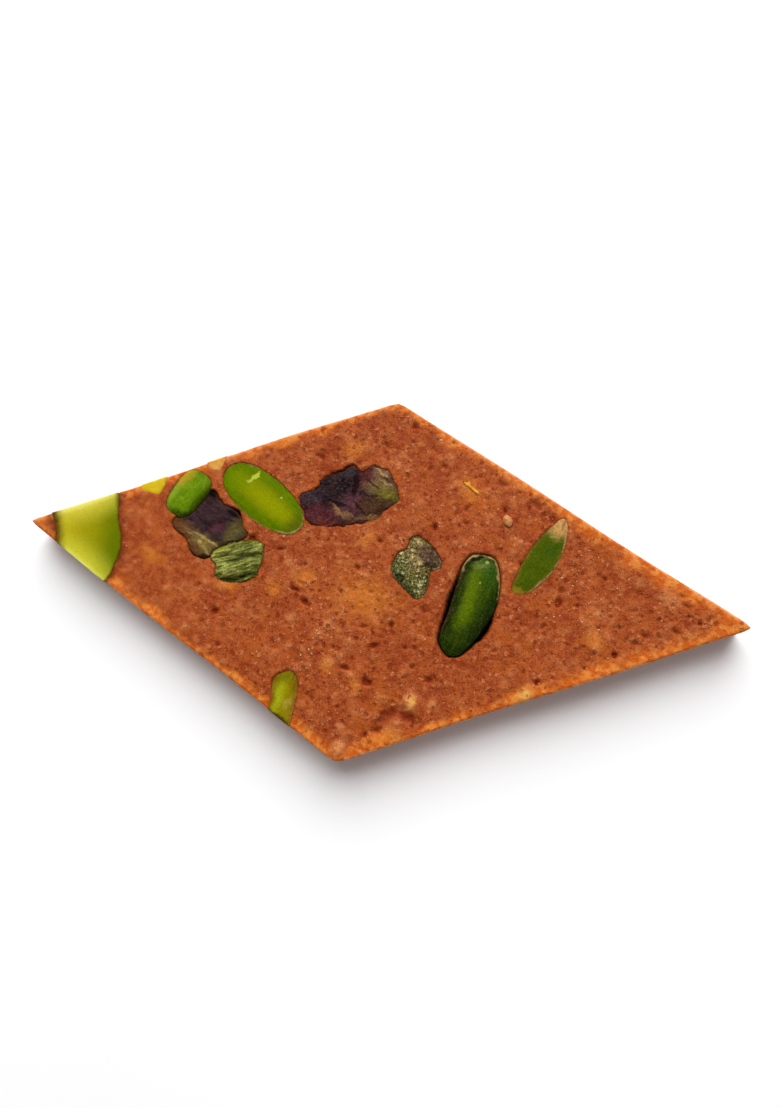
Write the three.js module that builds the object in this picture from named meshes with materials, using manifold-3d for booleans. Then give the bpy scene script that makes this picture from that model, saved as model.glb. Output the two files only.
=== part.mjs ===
// A nut-paste sweet cut to a long diamond, with whole, broken and sliced pistachio kernels set in its top.
// Units are millimetres and degrees. The long diagonal lies along X and the short one along Y, and the
// flat underside rests on z = 0 with the middle of the diamond above the origin.
import * as THREE from 'three';
import { mergeVertices } from 'three/addons/utils/BufferGeometryUtils.js';
import Module from 'manifold-3d';

const wasm = await Module();
wasm.setup();

// ---- the slab ----
const SIDE = 50;                 // each cut side of the diamond
const TIP_ANGLE = 53.5;          // between the two sides at a pointed end
const THICK = 5;                 // from the underside to the level of the top
const RIM_ROUND = 0.45;          // rounding of the top edge
const FOOT_ROUND = 0.2;          // rounding of the bottom edge
const CORNER_REACH = 1.8;        // how far from a corner its rounding starts
const TOP_CELLS = 38;            // divisions of the top along each side
const RIM_STEP = 0.3;            // where the rounding of the top edge has its middle line
// A cut side wanders by reach from straight, in waves of these lengths over 2 pi along X and Y.
const SWAY = { reach: 0.1, waveX: 4.7, startX: -1.5, waveY: 3.9, startY: 0.6 };
// The top rises and falls slowly by this height.
const SWELL = { height: 0.1, waveX: 6.1, startX: 0.4, waveY: 4.3, startY: -0.7 };
const HALF_TIP = THREE.MathUtils.degToRad(TIP_ANGLE / 2);
const HALF_LONG = SIDE * Math.cos(HALF_TIP);
const HALF_SHORT = SIDE * Math.sin(HALF_TIP);
const CORNERS = [                // each corner, and how far its point is worn back
  { x: -HALF_LONG, y: 0, worn: 0.35 },
  { x: 0, y: HALF_SHORT, worn: 0.2 },
  { x: HALF_LONG, y: 0, worn: 0.45 },
  { x: 0, y: -HALF_SHORT, worn: 0.25 },
];

// ---- the rough top ----
// Dents and crumbs are scattered by a seeded draw. A negative depth stands up.
const DENTS = { seed: 7, count: 90, radius: [0.8, 1.5], depth: [0.12, 0.34] };
const CRUMBS = { seed: 19, count: 60, radius: [0.8, 1.4], depth: [-0.16, -0.06] };
const CRACK = { x: 5.9, y: -17.4, radius: 2.1, width: 0.55, depth: 0.5, from: 20, to: 185 };
const PITS = [                   // the deepest single pits
  { x: 2.0, y: -12.8, radius: 0.8, depth: 0.5 },
  { x: -7.1, y: -4.7, radius: 1.1, depth: 0.45 },
  { x: 21.3, y: -9.9, radius: 0.7, depth: 0.4 },
  { x: -17.8, y: -7.6, radius: 0.9, depth: 0.4 },
  { x: -8.6, y: 13.9, radius: 0.9, depth: 0.4 },
  { x: -15.2, y: 2.1, radius: 0.7, depth: 0.5 },
  { x: 20.9, y: 9.7, radius: 0.8, depth: 0.4 },
  { x: 18.9, y: 11.1, radius: 0.9, depth: 0.35 },
];

// ---- what lies on the top, fused to it ----
const STRAND = {
  from: [9.9, 13.1], bend: [10.9, 12.7], to: [11.8, 11.6], radius: 0.24, sides: 6, lift: 0.05, steps: 5,
};
const NUT_CRUMB = { x: 15.6, y: 8.6, length: 1.6, width: 1.1, height: 0.9, lift: 0.1, turn: -65 };

// ---- the kernels ----
const GAP = 0.3;                 // between a kernel and the paste or kernel beside it
const RIM_WALL = 0.35;           // height of a kernel's upright rim
const POCKET_MOUTH = 3;          // how far a pocket's cutter stands above the top
const FACE_POWER = 6;            // how flat a sliced face stays towards its rim
const BELLY_POWER = 2.4;         // how full a kernel's underside is

// A kernel with length is a grown oval: turn is its long axis from +X, fullness fills out its flanks and
// blunt its ends (1 is round, lower is squarer), taper narrows its far end and bend bows it sideways.
// One with corners is a broken piece whose outline runs smoothly through them. rise is its crown above the
// level of the top, sink how far its rim lies below that level, and depth how far it reaches down. Where
// two meet, the lower one names what lies over it in under. atEdge marks a kernel that the knife cut
// through with the slab. crevices are the places where the paste stands off: toward is their direction
// from the middle, spread how far they run to each side of it and width how wide they open.
const KERNELS = [
  {
    name: 'pistachio_tip_cut', color: '#a8a612', at: [-36.5, 0.4],
    corners: [[-42.3, 3.2], [-40.9, 0.1], [-39.4, -3.2], [-35.6, -6.8], [-32.7, -6.4], [-31.6, -3.2],
      [-31.7, -0.8], [-32.9, 2.4], [-33.9, 5.6], [-38.2, 6.2]],
    rise: 0.04, sink: 0.02, depth: 3.3, segments: 32, rings: 4, atEdge: true,
  },
  {
    name: 'pistachio_chip_left', color: '#b8a81a', at: [-29.2, 7.0],
    corners: [[-30.9, 6.4], [-29.6, 5.95], [-28.1, 6.1], [-27.9, 8.9], [-29.6, 8.8]],
    rise: 0.04, sink: 0.02, depth: 1.6, segments: 16, rings: 2, atEdge: true,
  },
  {
    name: 'pistachio_stub', color: '#5a9616', at: [-24.5, 6.5], length: 6.4, width: 4.3, turn: 65,
    fullness: 0.62, blunt: 0.72, taper: -0.06, rise: 0.4, sink: 0, depth: 2.4, segments: 28, rings: 4,
  },
  {
    name: 'pistachio_purple', color: '#45303a', at: [-20.8, 2.7],
    corners: [[-21.6, 7.2], [-19.7, 6.0], [-17.6, 4.9], [-16.5, 3.3], [-15.9, 2.0], [-19.2, -0.8],
      [-20.7, -1.6], [-22.5, -0.9], [-23.6, 0.7], [-25.3, 1.7], [-25.8, 2.9], [-24.0, 4.6]],
    rise: 0.12, sink: 0.3, depth: 2.1, segments: 30, rings: 4, under: ['pistachio_stub', 'pistachio_ridged'],
  },
  {
    name: 'pistachio_ridged', color: '#7f985a', at: [-16.3, -1.1],
    corners: [[-19.8, -0.9], [-18.7, 0.4], [-15.7, 1.65], [-13.5, 1.4], [-13.3, -0.8], [-13.9, -2.9],
      [-16.2, -3.9], [-18.5, -3.7], [-19.0, -2.2]],
    rise: 0.4, sink: 0.1, depth: 1.9, ridges: { turn: 24, pitch: 2.7, depth: 0.3, shift: 0.4 },
    segments: 28, rings: 5,
  },
  {
    name: 'pistachio_half', color: '#86981a', at: [-14.8, 7.25], length: 12.6, width: 5.85, turn: -31,
    fullness: 0.82, taper: 0.04, rise: 0.1, sink: 0.08, depth: 2.4, segments: 32, rings: 4,
  },
  {
    name: 'pistachio_dark', color: '#2c1f2b', at: [-4.3, 9.1],
    corners: [[-10.3, 8.1], [-8.7, 9.3], [-7.3, 11.3], [-5.6, 12.1], [-4.2, 13.0], [-3.1, 12.3],
      [-1.6, 13.5], [0.3, 12.8], [1.9, 10.5], [1.9, 9.0], [0.4, 7.7], [0, 6.5], [-3.4, 5.4], [-5.2, 4.9],
      [-8.6, 5.0]],
    rise: 0.25, sink: 0.3, depth: 2.2, ridges: { turn: 62, pitch: 4.2, depth: 0.25, shift: 1.1 },
    segments: 42, rings: 4, under: ['pistachio_half'],
  },
  {
    name: 'pistachio_speckled', color: '#6c7150', at: [5.4, 1.3],
    corners: [[5.3, 5.3], [6.7, 4.6], [8.2, 3.1], [8.6, 1.7], [7.4, 1.0], [7.4, -0.6], [7.0, -2.1],
      [6.0, -2.5], [4.8, -1.7], [3.3, -0.6], [2.6, 1.0], [3.1, 2.7], [4.1, 3.7], [4.3, 4.8]],
    rise: 0.2, sink: 0.15, depth: 1.7, ridges: { turn: 118, pitch: 3.4, depth: 0.18, shift: 0.8 },
    segments: 32, rings: 4,
  },
  {
    name: 'pistachio_whole', color: '#2f5a10', at: [12.7, -2.1],
    corners: [[13.2, 4.1], [14.7, 3.8], [15.5, 2.2], [15.8, 0], [15.5, -2.6], [14.6, -4.7], [13.4, -6.8],
      [12.1, -8.3], [10.7, -8.4], [9.6, -7.1], [9.6, -5.7], [10.1, -3.6], [10.5, -1.0], [11.0, 2.1],
      [11.9, 3.8]],
    rise: 0.75, sink: 0.35, depth: 2.3, domed: true, segments: 34, rings: 5,
    crevices: [{ toward: -58, width: 0.9, spread: 24 }, { toward: 168, width: 0.45, spread: 28 }],
  },
  {
    name: 'pistachio_leaf', color: '#4a7a18', at: [20.2, 4.7],
    corners: [[22.2, 10.0], [22.8, 8.8], [22.7, 6.6], [22.2, 4.5], [21.3, 2.7], [19.4, 0.5], [17.9, -0.1],
      [17.1, 0.5], [17.5, 2.3], [18.4, 4.9], [19.8, 7.4], [21.1, 9.0]],
    rise: 0.06, sink: 0.06, depth: 1.3, segments: 30, rings: 3,
  },
  {
    name: 'pistachio_chip_near', color: '#86981a', at: [-7.4, -16.2],
    corners: [[-8.9, -14.3], [-7.6, -13.2], [-6.3, -13.6], [-5.8, -16.2], [-6.3, -20.2], [-8.6, -19.4],
      [-8.8, -16.4]],
    rise: 0.04, sink: 0.04, depth: 2.2, segments: 22, rings: 3, atEdge: true,
  },
  {
    name: 'pistachio_chip_far', color: '#c6a440', at: [-21.7, 10.9],
    corners: [[-23.0, 10.5], [-21.2, 10.1], [-20.7, 12.6], [-22.3, 12.4]],
    rise: 0.04, sink: 0.02, depth: 1.1, segments: 14, rings: 2, atEdge: true,
  },
];

// ---- solids from meshes, and back ----

/** Turns a closed indexed geometry into a solid that can be cut and joined. */
function toSolid(geometry) {
  const bare = geometry.clone();
  bare.deleteAttribute('normal');
  bare.deleteAttribute('uv');
  const welded = mergeVertices(bare, 1e-5);
  return new wasm.Manifold(new wasm.Mesh({
    numProp: 3,
    vertProperties: new Float32Array(welded.attributes.position.array),
    triVerts: new Uint32Array(welded.index.array),
  }));
}

/** Turns the largest body of a solid back into a geometry. */
function toGeometry(solid) {
  const bodies = solid.decompose().sort((a, b) => b.volume() - a.volume());
  const { numProp, vertProperties, triVerts } = bodies[0].getMesh();
  const position = [];
  for (let i = 0; i < vertProperties.length; i += numProp) {
    position.push(vertProperties[i], vertProperties[i + 1], vertProperties[i + 2]);
  }
  return indexedGeometry(position, Array.from(triVerts));
}

/** Makes a geometry from flat lists of coordinates and triangle corners. */
function indexedGeometry(position, index) {
  const geometry = new THREE.BufferGeometry();
  geometry.setAttribute('position', new THREE.Float32BufferAttribute(position, 3));
  geometry.setIndex(index);
  geometry.computeVertexNormals();
  return geometry;
}

/** A repeatable stream of numbers from 0 to 1. */
function makeRandom(seed) {
  let state = seed;
  return () => {
    state = (state * 1664525 + 1013904223) % 4294967296;
    return state / 4294967296;
  };
}

// ---- the slab's outline and top ----

/** Places a point given by its distances from the left tip along the two sides, with worn corners. */
function placeOnDiamond(alongFar, alongNear) {
  let x = -HALF_LONG + (alongFar + alongNear) * Math.cos(HALF_TIP);
  let y = (alongFar - alongNear) * Math.sin(HALF_TIP);
  for (const corner of CORNERS) {
    const away = Math.hypot(x - corner.x, y - corner.y);
    if (away < CORNER_REACH) {
      const pull = corner.worn * (1 - away / CORNER_REACH) ** 2 / Math.hypot(corner.x, corner.y);
      x -= corner.x * pull;
      y -= corner.y * pull;
    }
  }
  const swayX = SWAY.reach * Math.sin(y / SWAY.waveY + SWAY.startY);
  const swayY = SWAY.reach * Math.sin(x / SWAY.waveX + SWAY.startX);
  return [x + swayX, y + swayY];
}

/** Scatters round dents over the diamond by a seeded draw. */
function scatterDents({ seed, count, radius, depth }) {
  const random = makeRandom(seed);
  const between = ([low, high]) => low + (high - low) * random();
  return Array.from({ length: count }, () => {
    const [x, y] = placeOnDiamond(SIDE * random(), SIDE * random());
    return { x, y, radius: between(radius), depth: between(depth) };
  });
}

const ALL_DENTS = [...PITS, ...scatterDents(DENTS), ...scatterDents(CRUMBS)];

/** Depth of the curved crack at a point. */
function crackDepth(x, y) {
  const away = Math.hypot(x - CRACK.x, y - CRACK.y);
  const bearing = THREE.MathUtils.radToDeg(Math.atan2(y - CRACK.y, x - CRACK.x));
  if (bearing < CRACK.from || bearing > CRACK.to) return 0;
  return CRACK.depth * Math.exp(-(((away - CRACK.radius) / CRACK.width) ** 2));
}

/** Height of the paste's top at a point, away from the rim. */
function topHeight(x, y) {
  const wave = Math.sin(x / SWELL.waveX + SWELL.startX) * Math.cos(y / SWELL.waveY + SWELL.startY);
  let height = THICK + SWELL.height * wave - crackDepth(x, y);
  for (const dent of ALL_DENTS) {
    const spread = ((x - dent.x) ** 2 + (y - dent.y) ** 2) / dent.radius ** 2;
    if (spread < 5) height -= dent.depth * Math.exp(-spread);
  }
  return height;
}

/** Lines of the top's grid along one side: close together over the rim's rounding, even between. */
function gridLines() {
  const lines = [0, RIM_STEP * RIM_ROUND, RIM_ROUND];
  const inner = SIDE - 2 * RIM_ROUND;
  for (let i = 1; i < TOP_CELLS; i += 1) lines.push(RIM_ROUND + (inner * i) / TOP_CELLS);
  return [...lines, SIDE - RIM_ROUND, SIDE - RIM_STEP * RIM_ROUND, SIDE];
}

const LINES = gridLines();
const LAST = LINES.length - 1;

/** The grid's indices round its border, counterclockwise seen from above. */
function borderCells() {
  const cells = [];
  for (let i = 0; i < LAST; i += 1) cells.push([0, i]);
  for (let i = 0; i < LAST; i += 1) cells.push([i, LAST]);
  for (let i = LAST; i > 0; i -= 1) cells.push([LAST, i]);
  for (let i = LAST; i > 0; i -= 1) cells.push([i, 0]);
  return cells;
}

const BORDER = borderCells();

/** The paste as one closed body: a rough top on a fine grid, upright sides and a flat underside. */
function slabGeometry() {
  const position = [];
  const index = [];
  const gridIndex = (i, j) => i * (LAST + 1) + j;
  for (let i = 0; i <= LAST; i += 1) {
    for (let j = 0; j <= LAST; j += 1) {
      const [x, y] = placeOnDiamond(LINES[i], LINES[j]);
      const inset = Math.min(LINES[i], LINES[j], SIDE - LINES[i], SIDE - LINES[j]);
      const short = Math.max(0, 1 - inset / RIM_ROUND);
      const drop = RIM_ROUND * (1 - Math.sqrt(1 - short ** 2));
      position.push(x, y, topHeight(x, y) - drop);
    }
  }
  for (let i = 0; i < LAST; i += 1) {
    for (let j = 0; j < LAST; j += 1) {
      const [a, b] = [gridIndex(i, j), gridIndex(i + 1, j)];
      const [d, c] = [gridIndex(i, j + 1), gridIndex(i + 1, j + 1)];
      if ((i + j) % 2) index.push(a, c, b, a, d, c);
      else index.push(a, d, b, b, d, c);
    }
  }
  let above = BORDER.map(([i, j]) => gridIndex(i, j));
  const rows = [[THICK / 2, 1], [FOOT_ROUND, 1], [0, 1 - FOOT_ROUND / HALF_SHORT]];
  for (const [height, shrink] of rows) {
    const start = position.length / 3;
    for (const [i, j] of BORDER) {
      const [x, y] = placeOnDiamond(LINES[i], LINES[j]);
      position.push(x * shrink, y * shrink, height);
    }
    const below = BORDER.map((cell, k) => start + k);
    stitch(index, above, below);
    above = below;
  }
  position.push(0, 0, 0);
  closeFan(index, above, position.length / 3 - 1);
  return indexedGeometry(position, index);
}

/** Joins two closed loops of vertices, the first above the second, both counterclockwise from above. */
function stitch(index, above, below) {
  above.forEach((top, k) => {
    const next = (k + 1) % above.length;
    index.push(top, below[k], below[next], top, below[next], above[next]);
  });
}

/** Closes a counterclockwise loop downwards with a fan round one vertex. */
function closeFan(index, loop, centre) {
  loop.forEach((vertex, k) => index.push(vertex, centre, loop[(k + 1) % loop.length]));
}

/** An upright block with the slab's own outline, taller than the slab. */
function outlineBlock() {
  const corners = BORDER.map(([i, j]) => new THREE.Vector2(...placeOnDiamond(LINES[i], LINES[j])));
  const block = new THREE.ExtrudeGeometry(new THREE.Shape(corners), {
    depth: THICK + 2 * POCKET_MOUTH, bevelEnabled: false,
  });
  block.translate(0, 0, -POCKET_MOUTH);
  return block;
}

// ---- kernels ----

/** A kernel's outline as points about its middle, counterclockwise. */
function kernelOutline(kernel) {
  if (kernel.corners) {
    const corners = kernel.corners.map(([x, y]) => new THREE.Vector3(x - kernel.at[0], y - kernel.at[1], 0));
    const curve = new THREE.CatmullRomCurve3(corners, true, 'catmullrom', 0.5);
    const loop = curve.getSpacedPoints(kernel.segments).slice(0, kernel.segments)
      .map((point) => new THREE.Vector2(point.x, point.y));
    return THREE.ShapeUtils.isClockWise(loop) ? loop.reverse() : loop;
  }
  const { length, width, fullness, blunt = 1, taper = 0, bend = 0 } = kernel;
  const swell = (wave, power) => Math.sign(wave) * Math.abs(wave) ** power;
  return Array.from({ length: kernel.segments }, (unused, k) => {
    const angle = (2 * Math.PI * k) / kernel.segments;
    const along = swell(Math.cos(angle), blunt);
    const across = swell(Math.sin(angle), fullness);
    const x = (length / 2) * along;
    const y = (width / 2) * (across * (1 - taper * along) + bend * (along ** 2 - 0.5));
    return new THREE.Vector2(x, y).rotateAround(new THREE.Vector2(), THREE.MathUtils.degToRad(kernel.turn));
  });
}

/** Height of a kernel's face: out is 0 at its middle and 1 at its rim, x and y are from its middle. */
function kernelTop(kernel, out, x, y) {
  const crown = kernel.domed ? Math.sqrt(1 - out ** 2) : 1 - out ** FACE_POWER;
  let height = THICK - kernel.sink + (kernel.rise + kernel.sink) * crown;
  if (kernel.ridges) {
    const { turn, pitch, depth, shift } = kernel.ridges;
    const lie = THREE.MathUtils.degToRad(turn);
    const across = y * Math.cos(lie) - x * Math.sin(lie);
    height -= depth * (1 - out ** 2) * (1 + Math.sin((2 * Math.PI * across) / pitch + shift));
  }
  return height;
}

/** Height of a kernel's underside. */
function kernelBottom(kernel, out) {
  const belly = Math.sqrt(1 - out ** BELLY_POWER);
  return THICK - kernel.sink - RIM_WALL - (kernel.depth - kernel.sink - RIM_WALL) * belly;
}

/** The outward direction at each point of a counterclockwise outline. */
function outwardWays(outline) {
  return outline.map((point, k) => {
    const before = outline.at(k - 1);
    const after = outline[(k + 1) % outline.length];
    return new THREE.Vector2(after.y - before.y, before.x - after.x).normalize();
  });
}

/** How far the paste stands off a kernel in the direction of a point of its outline. */
function creviceWidth(kernel, point) {
  const bearing = THREE.MathUtils.radToDeg(point.angle());
  return (kernel.crevices ?? []).reduce((total, { toward, width, spread }) => {
    const turned = THREE.MathUtils.euclideanModulo(bearing - toward + 180, 360) - 180;
    return total + width * Math.exp(-((turned / spread) ** 2));
  }, 0);
}

/** A kernel's lens, or with a grow the taller cutter of its pocket, wider and deeper by grow. */
function lensGeometry(kernel, grow) {
  const outline = kernelOutline(kernel);
  const ways = outwardWays(outline);
  const [middleX, middleY] = kernel.at;
  const position = [];
  const index = [];
  const isCutter = grow > 0;
  const rim = outline.map((point, k) => {
    const away = isCutter ? Math.max(grow, creviceWidth(kernel, point)) : 0;
    return point.clone().addScaledVector(ways[k], away);
  });
  const ringLoop = (out, heightAt) => {
    const start = position.length / 3;
    for (const point of rim) {
      const [x, y] = [point.x * out, point.y * out];
      position.push(middleX + x, middleY + y, heightAt(out, x, y));
    }
    return rim.map((point, k) => start + k);
  };
  const topAt = (out, x, y) => (isCutter ? THICK + POCKET_MOUTH : kernelTop(kernel, out, x, y));
  const bottomAt = (out) => kernelBottom(kernel, out) - grow;
  const topRings = isCutter ? 1 : kernel.rings;
  position.push(middleX, middleY, topAt(0, 0, 0));
  let loop = null;
  for (let ring = 1; ring <= topRings; ring += 1) {
    const out = Math.sin((Math.PI / 2) * (ring / topRings));
    const next = ringLoop(out, topAt);
    if (loop) stitch(index, loop, next);
    else next.forEach((vertex, k) => index.push(0, vertex, next[(k + 1) % next.length]));
    loop = next;
  }
  for (let ring = kernel.rings; ring >= 1; ring -= 1) {
    const out = Math.sin((Math.PI / 2) * (ring / kernel.rings));
    const next = ringLoop(out, bottomAt);
    stitch(index, loop, next);
    loop = next;
  }
  position.push(middleX, middleY, bottomAt(0));
  closeFan(index, loop, position.length / 3 - 1);
  return indexedGeometry(position, index);
}

/** A kernel's solid, cut back from the kernels over it and by the sides of the slab. */
function kernelSolid(kernel, pockets, block) {
  let solid = toSolid(lensGeometry(kernel, 0));
  for (const name of kernel.under ?? []) solid = solid.subtract(pockets.get(name));
  return kernel.atEdge ? solid.intersect(block) : solid;
}

// ---- fused bits ----

/** The golden strand that lies on the top, half sunk. */
function strandGeometry() {
  const at = ([x, y]) => new THREE.Vector3(x, y, topHeight(x, y) + STRAND.lift);
  const route = new THREE.QuadraticBezierCurve3(at(STRAND.from), at(STRAND.bend), at(STRAND.to));
  const ring = new THREE.EllipseCurve(0, 0, STRAND.radius, STRAND.radius).getPoints(STRAND.sides);
  const section = new THREE.Shape(ring.slice(0, STRAND.sides));
  return new THREE.ExtrudeGeometry(section, { steps: STRAND.steps, extrudePath: route, bevelEnabled: false });
}

/** The pale crumb of nut, half sunk. */
function nutCrumbGeometry() {
  const crumb = new THREE.IcosahedronGeometry(0.5, 1);
  crumb.scale(NUT_CRUMB.length, NUT_CRUMB.width, NUT_CRUMB.height);
  crumb.rotateZ(THREE.MathUtils.degToRad(NUT_CRUMB.turn));
  crumb.translate(NUT_CRUMB.x, NUT_CRUMB.y, topHeight(NUT_CRUMB.x, NUT_CRUMB.y) + NUT_CRUMB.lift);
  return crumb;
}

// ---- the sweet ----

/** A named mesh with a finish of its own. */
function finishedMesh(name, geometry, color, roughness) {
  const mesh = new THREE.Mesh(geometry, new THREE.MeshStandardMaterial({ color, roughness, metalness: 0 }));
  mesh.name = name;
  return mesh;
}

const pockets = new Map(KERNELS.map((kernel) => [kernel.name, toSolid(lensGeometry(kernel, GAP))]));
const block = toSolid(outlineBlock());

let paste = toSolid(slabGeometry()).add(toSolid(strandGeometry())).add(toSolid(nutCrumbGeometry()));
for (const pocket of pockets.values()) paste = paste.subtract(pocket);

const sweet = new THREE.Group();
sweet.add(finishedMesh('paste_slab', toGeometry(paste), '#ab5a33', 0.62));
for (const kernel of KERNELS) {
  sweet.add(finishedMesh(kernel.name, toGeometry(kernelSolid(kernel, pockets, block)), kernel.color, 0.5));
}

export default sweet;
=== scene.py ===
"""A thin diamond of red-brown ground-nut paste with pistachio kernels set flush in its top.

Sizes are in millimetres and degrees, and meshes are scaled to metres as they are made. The long
diagonal of the diamond lies along X, the short one along Y, and its underside rests on z = 0.
"""

from __future__ import annotations

import itertools
import logging
import math
from dataclasses import dataclass
from enum import Enum

import bpy
import numpy as np
from mathutils import Matrix, Vector


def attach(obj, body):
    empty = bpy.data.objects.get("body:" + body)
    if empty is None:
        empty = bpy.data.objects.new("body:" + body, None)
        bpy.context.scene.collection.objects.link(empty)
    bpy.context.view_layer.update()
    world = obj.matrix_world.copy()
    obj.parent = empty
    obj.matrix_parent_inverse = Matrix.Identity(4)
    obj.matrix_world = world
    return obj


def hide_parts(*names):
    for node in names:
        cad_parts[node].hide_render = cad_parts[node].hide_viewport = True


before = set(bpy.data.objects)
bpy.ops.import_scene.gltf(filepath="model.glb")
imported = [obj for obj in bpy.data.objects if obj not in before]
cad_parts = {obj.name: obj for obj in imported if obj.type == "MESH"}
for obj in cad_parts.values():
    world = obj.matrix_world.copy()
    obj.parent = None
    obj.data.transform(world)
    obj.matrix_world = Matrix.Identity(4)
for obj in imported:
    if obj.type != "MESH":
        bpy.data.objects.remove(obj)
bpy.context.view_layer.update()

LOG = logging.getLogger("sweet")
MM = 0.001
TINY = 1e-9

Colour = tuple[int, int, int]
Place = tuple[float, float]
Triple = tuple[float, float, float]
Socket = bpy.types.NodeSocket
Piece = bpy.types.Object
Array = np.ndarray
Inputs = dict[int | str, object]


# ---- small tools ----


def linear(colour: Colour) -> tuple[float, float, float, float]:
    """Turns a screen colour of 0 to 255 into the linear values that shaders take.

    Args:
        colour: red, green and blue as they look on a screen.

    Returns:
        Linear red, green, blue and a full alpha.
    """
    shares = [value / 255 for value in colour]
    return (*[s / 12.92 if s <= 0.04045 else ((s + 0.055) / 1.055) ** 2.4 for s in shares], 1.0)


def smooth_step(low: float, high: float, value: Array) -> Array:
    """Rises smoothly from 0 where value is low to 1 where it is high, or falls if high is below low."""
    share = np.clip((value - low) / (high - low), 0, 1)
    return share * share * (3 - 2 * share)


class Grain:
    """Smooth seeded noise over the plane."""

    SIZE = 128
    TWIST = math.radians(37)
    SHIFT = 17.3
    FADE = 0.55

    def __init__(self, seed: int) -> None:
        """Draws the lattice of the pattern that a seed picks."""
        self.lattice = np.random.default_rng(seed).uniform(-1, 1, (self.SIZE, self.SIZE))

    def at(self, x: Array, y: Array, cell: float) -> Array:
        """Noise whose lumps are about a cell wide.

        Args:
            x: places along X.
            y: places along Y.
            cell: distance between two lattice values.

        Returns:
            Numbers from -1 to 1.
        """
        across, up = x / cell, y / cell
        left, low = np.floor(across).astype(int), np.floor(up).astype(int)
        right_share = smooth_step(0, 1, across - left)
        high_share = smooth_step(0, 1, up - low)
        left, low = left % self.SIZE, low % self.SIZE
        right, high = (left + 1) % self.SIZE, (low + 1) % self.SIZE
        bottom = self.lattice[left, low] * (1 - right_share) + self.lattice[right, low] * right_share
        top = self.lattice[left, high] * (1 - right_share) + self.lattice[right, high] * right_share
        return bottom * (1 - high_share) + top * high_share

    def fractal(self, x: Array, y: Array, cell: float, layers: int = 3) -> Array:
        """Noise of several sizes, each half of the last and turned against it.

        Args:
            x: places along X.
            y: places along Y.
            cell: size of the largest lumps.
            layers: how many sizes.

        Returns:
            Numbers from about -1 to 1.
        """
        total, weight, whole = 0.0, 1.0, 0.0
        for layer in range(layers):
            turn = self.TWIST * layer
            turned_x = x * math.cos(turn) - y * math.sin(turn)
            turned_y = x * math.sin(turn) + y * math.cos(turn)
            total = total + weight * self.at(turned_x + self.SHIFT * layer, turned_y, cell / 2**layer)
            whole += weight
            weight *= self.FADE
        return total / whole


def all_round(count: int) -> Array:
    """Evenly spread directions in radians, counterclockwise from +X."""
    return np.linspace(0, math.tau, count, endpoint=False)


def lie(x: Array, y: Array, turn: float) -> tuple[Array, Array]:
    """Coordinates along a direction, counterclockwise from +X in degrees, and to its left."""
    cosine, sine = math.cos(math.radians(turn)), math.sin(math.radians(turn))
    return x * cosine + y * sine, y * cosine - x * sine


def make_piece(name: str, points: Array, faces: list, material: bpy.types.Material) -> Piece:
    """Makes a smooth mesh object from points in millimetres.

    Args:
        name: the piece's name.
        points: one row for each vertex.
        faces: the vertices of each face.
        material: its finish.

    Returns:
        The new object, linked to the scene.
    """
    mesh = bpy.data.meshes.new(name)
    mesh.from_pydata((points * MM).tolist(), [], faces)
    mesh.validate()
    mesh.polygons.foreach_set("use_smooth", [True] * len(mesh.polygons))
    mesh.materials.append(material)
    piece = bpy.data.objects.new(name, mesh)
    bpy.context.scene.collection.objects.link(piece)
    return piece


def paint(piece: Piece, name: str, values: Array) -> None:
    """Stores a number on each vertex of a piece, under a name, for its material to read."""
    layer = piece.data.attributes.new(name, "FLOAT", "POINT")
    layer.data.foreach_set("value", np.asarray(values, dtype=np.float32).ravel())


def rows_of_quads(first: Array, second: Array) -> list:
    """Joins two closed loops of as many vertices, the first above or inside the second."""
    after_first, after_second = np.roll(first, -1), np.roll(second, -1)
    return np.stack([first, second, after_second, after_first], axis=1).tolist()


def fan(centre: int, loop: Array, faces_down: bool = False) -> list:
    """Closes a loop, counterclockwise from above, with triangles round one vertex."""
    order = [np.roll(loop, -1), loop] if faces_down else [loop, np.roll(loop, -1)]
    return np.stack([np.full(len(loop), centre), *order], axis=1).tolist()


def closed_rings(count: int, segments: int) -> list:
    """Joins the rings of a closed body that has a single vertex at each end.

    Args:
        count: how many vertices it has, which run from its top down.
        segments: how many of them each ring has.

    Returns:
        The faces.
    """
    rings = 1 + np.arange(count - 2).reshape(-1, segments)
    faces = fan(0, rings[0])
    for upper, lower in zip(rings[:-1], rings[1:]):
        faces += rows_of_quads(upper, lower)
    return faces + fan(count - 1, rings[-1], faces_down=True)


def distance_to(line: Array, x: Array, y: Array, closed: bool = True) -> Array:
    """Distance from points to a line of straight pieces.

    Args:
        line: the line's knots.
        x: places along X.
        y: places along Y.
        closed: whether the last knot joins the first.

    Returns:
        The least distance of each point.
    """
    edge = (np.roll(line, -1, axis=0) - line)[: None if closed else -1]
    square_lengths = np.maximum((edge**2).sum(axis=1), TINY**2)
    least = np.full(len(x), np.inf)
    for (start_x, start_y), (edge_x, edge_y), square in zip(line, edge, square_lengths):
        away_x, away_y = x - start_x, y - start_y
        share = np.clip((away_x * edge_x + away_y * edge_y) / square, 0, 1)
        least = np.minimum(least, (away_x - share * edge_x) ** 2 + (away_y - share * edge_y) ** 2)
    return np.sqrt(least)


def round_square(run: Array, side: float) -> tuple[Array, Array]:
    """Goes once round a square by both coordinates, from runs along one side of it."""
    none, full = 0 * run, 0 * run + side
    return np.concatenate([none, run, full, side - run]), np.concatenate([run, full, side - run, none])


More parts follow.
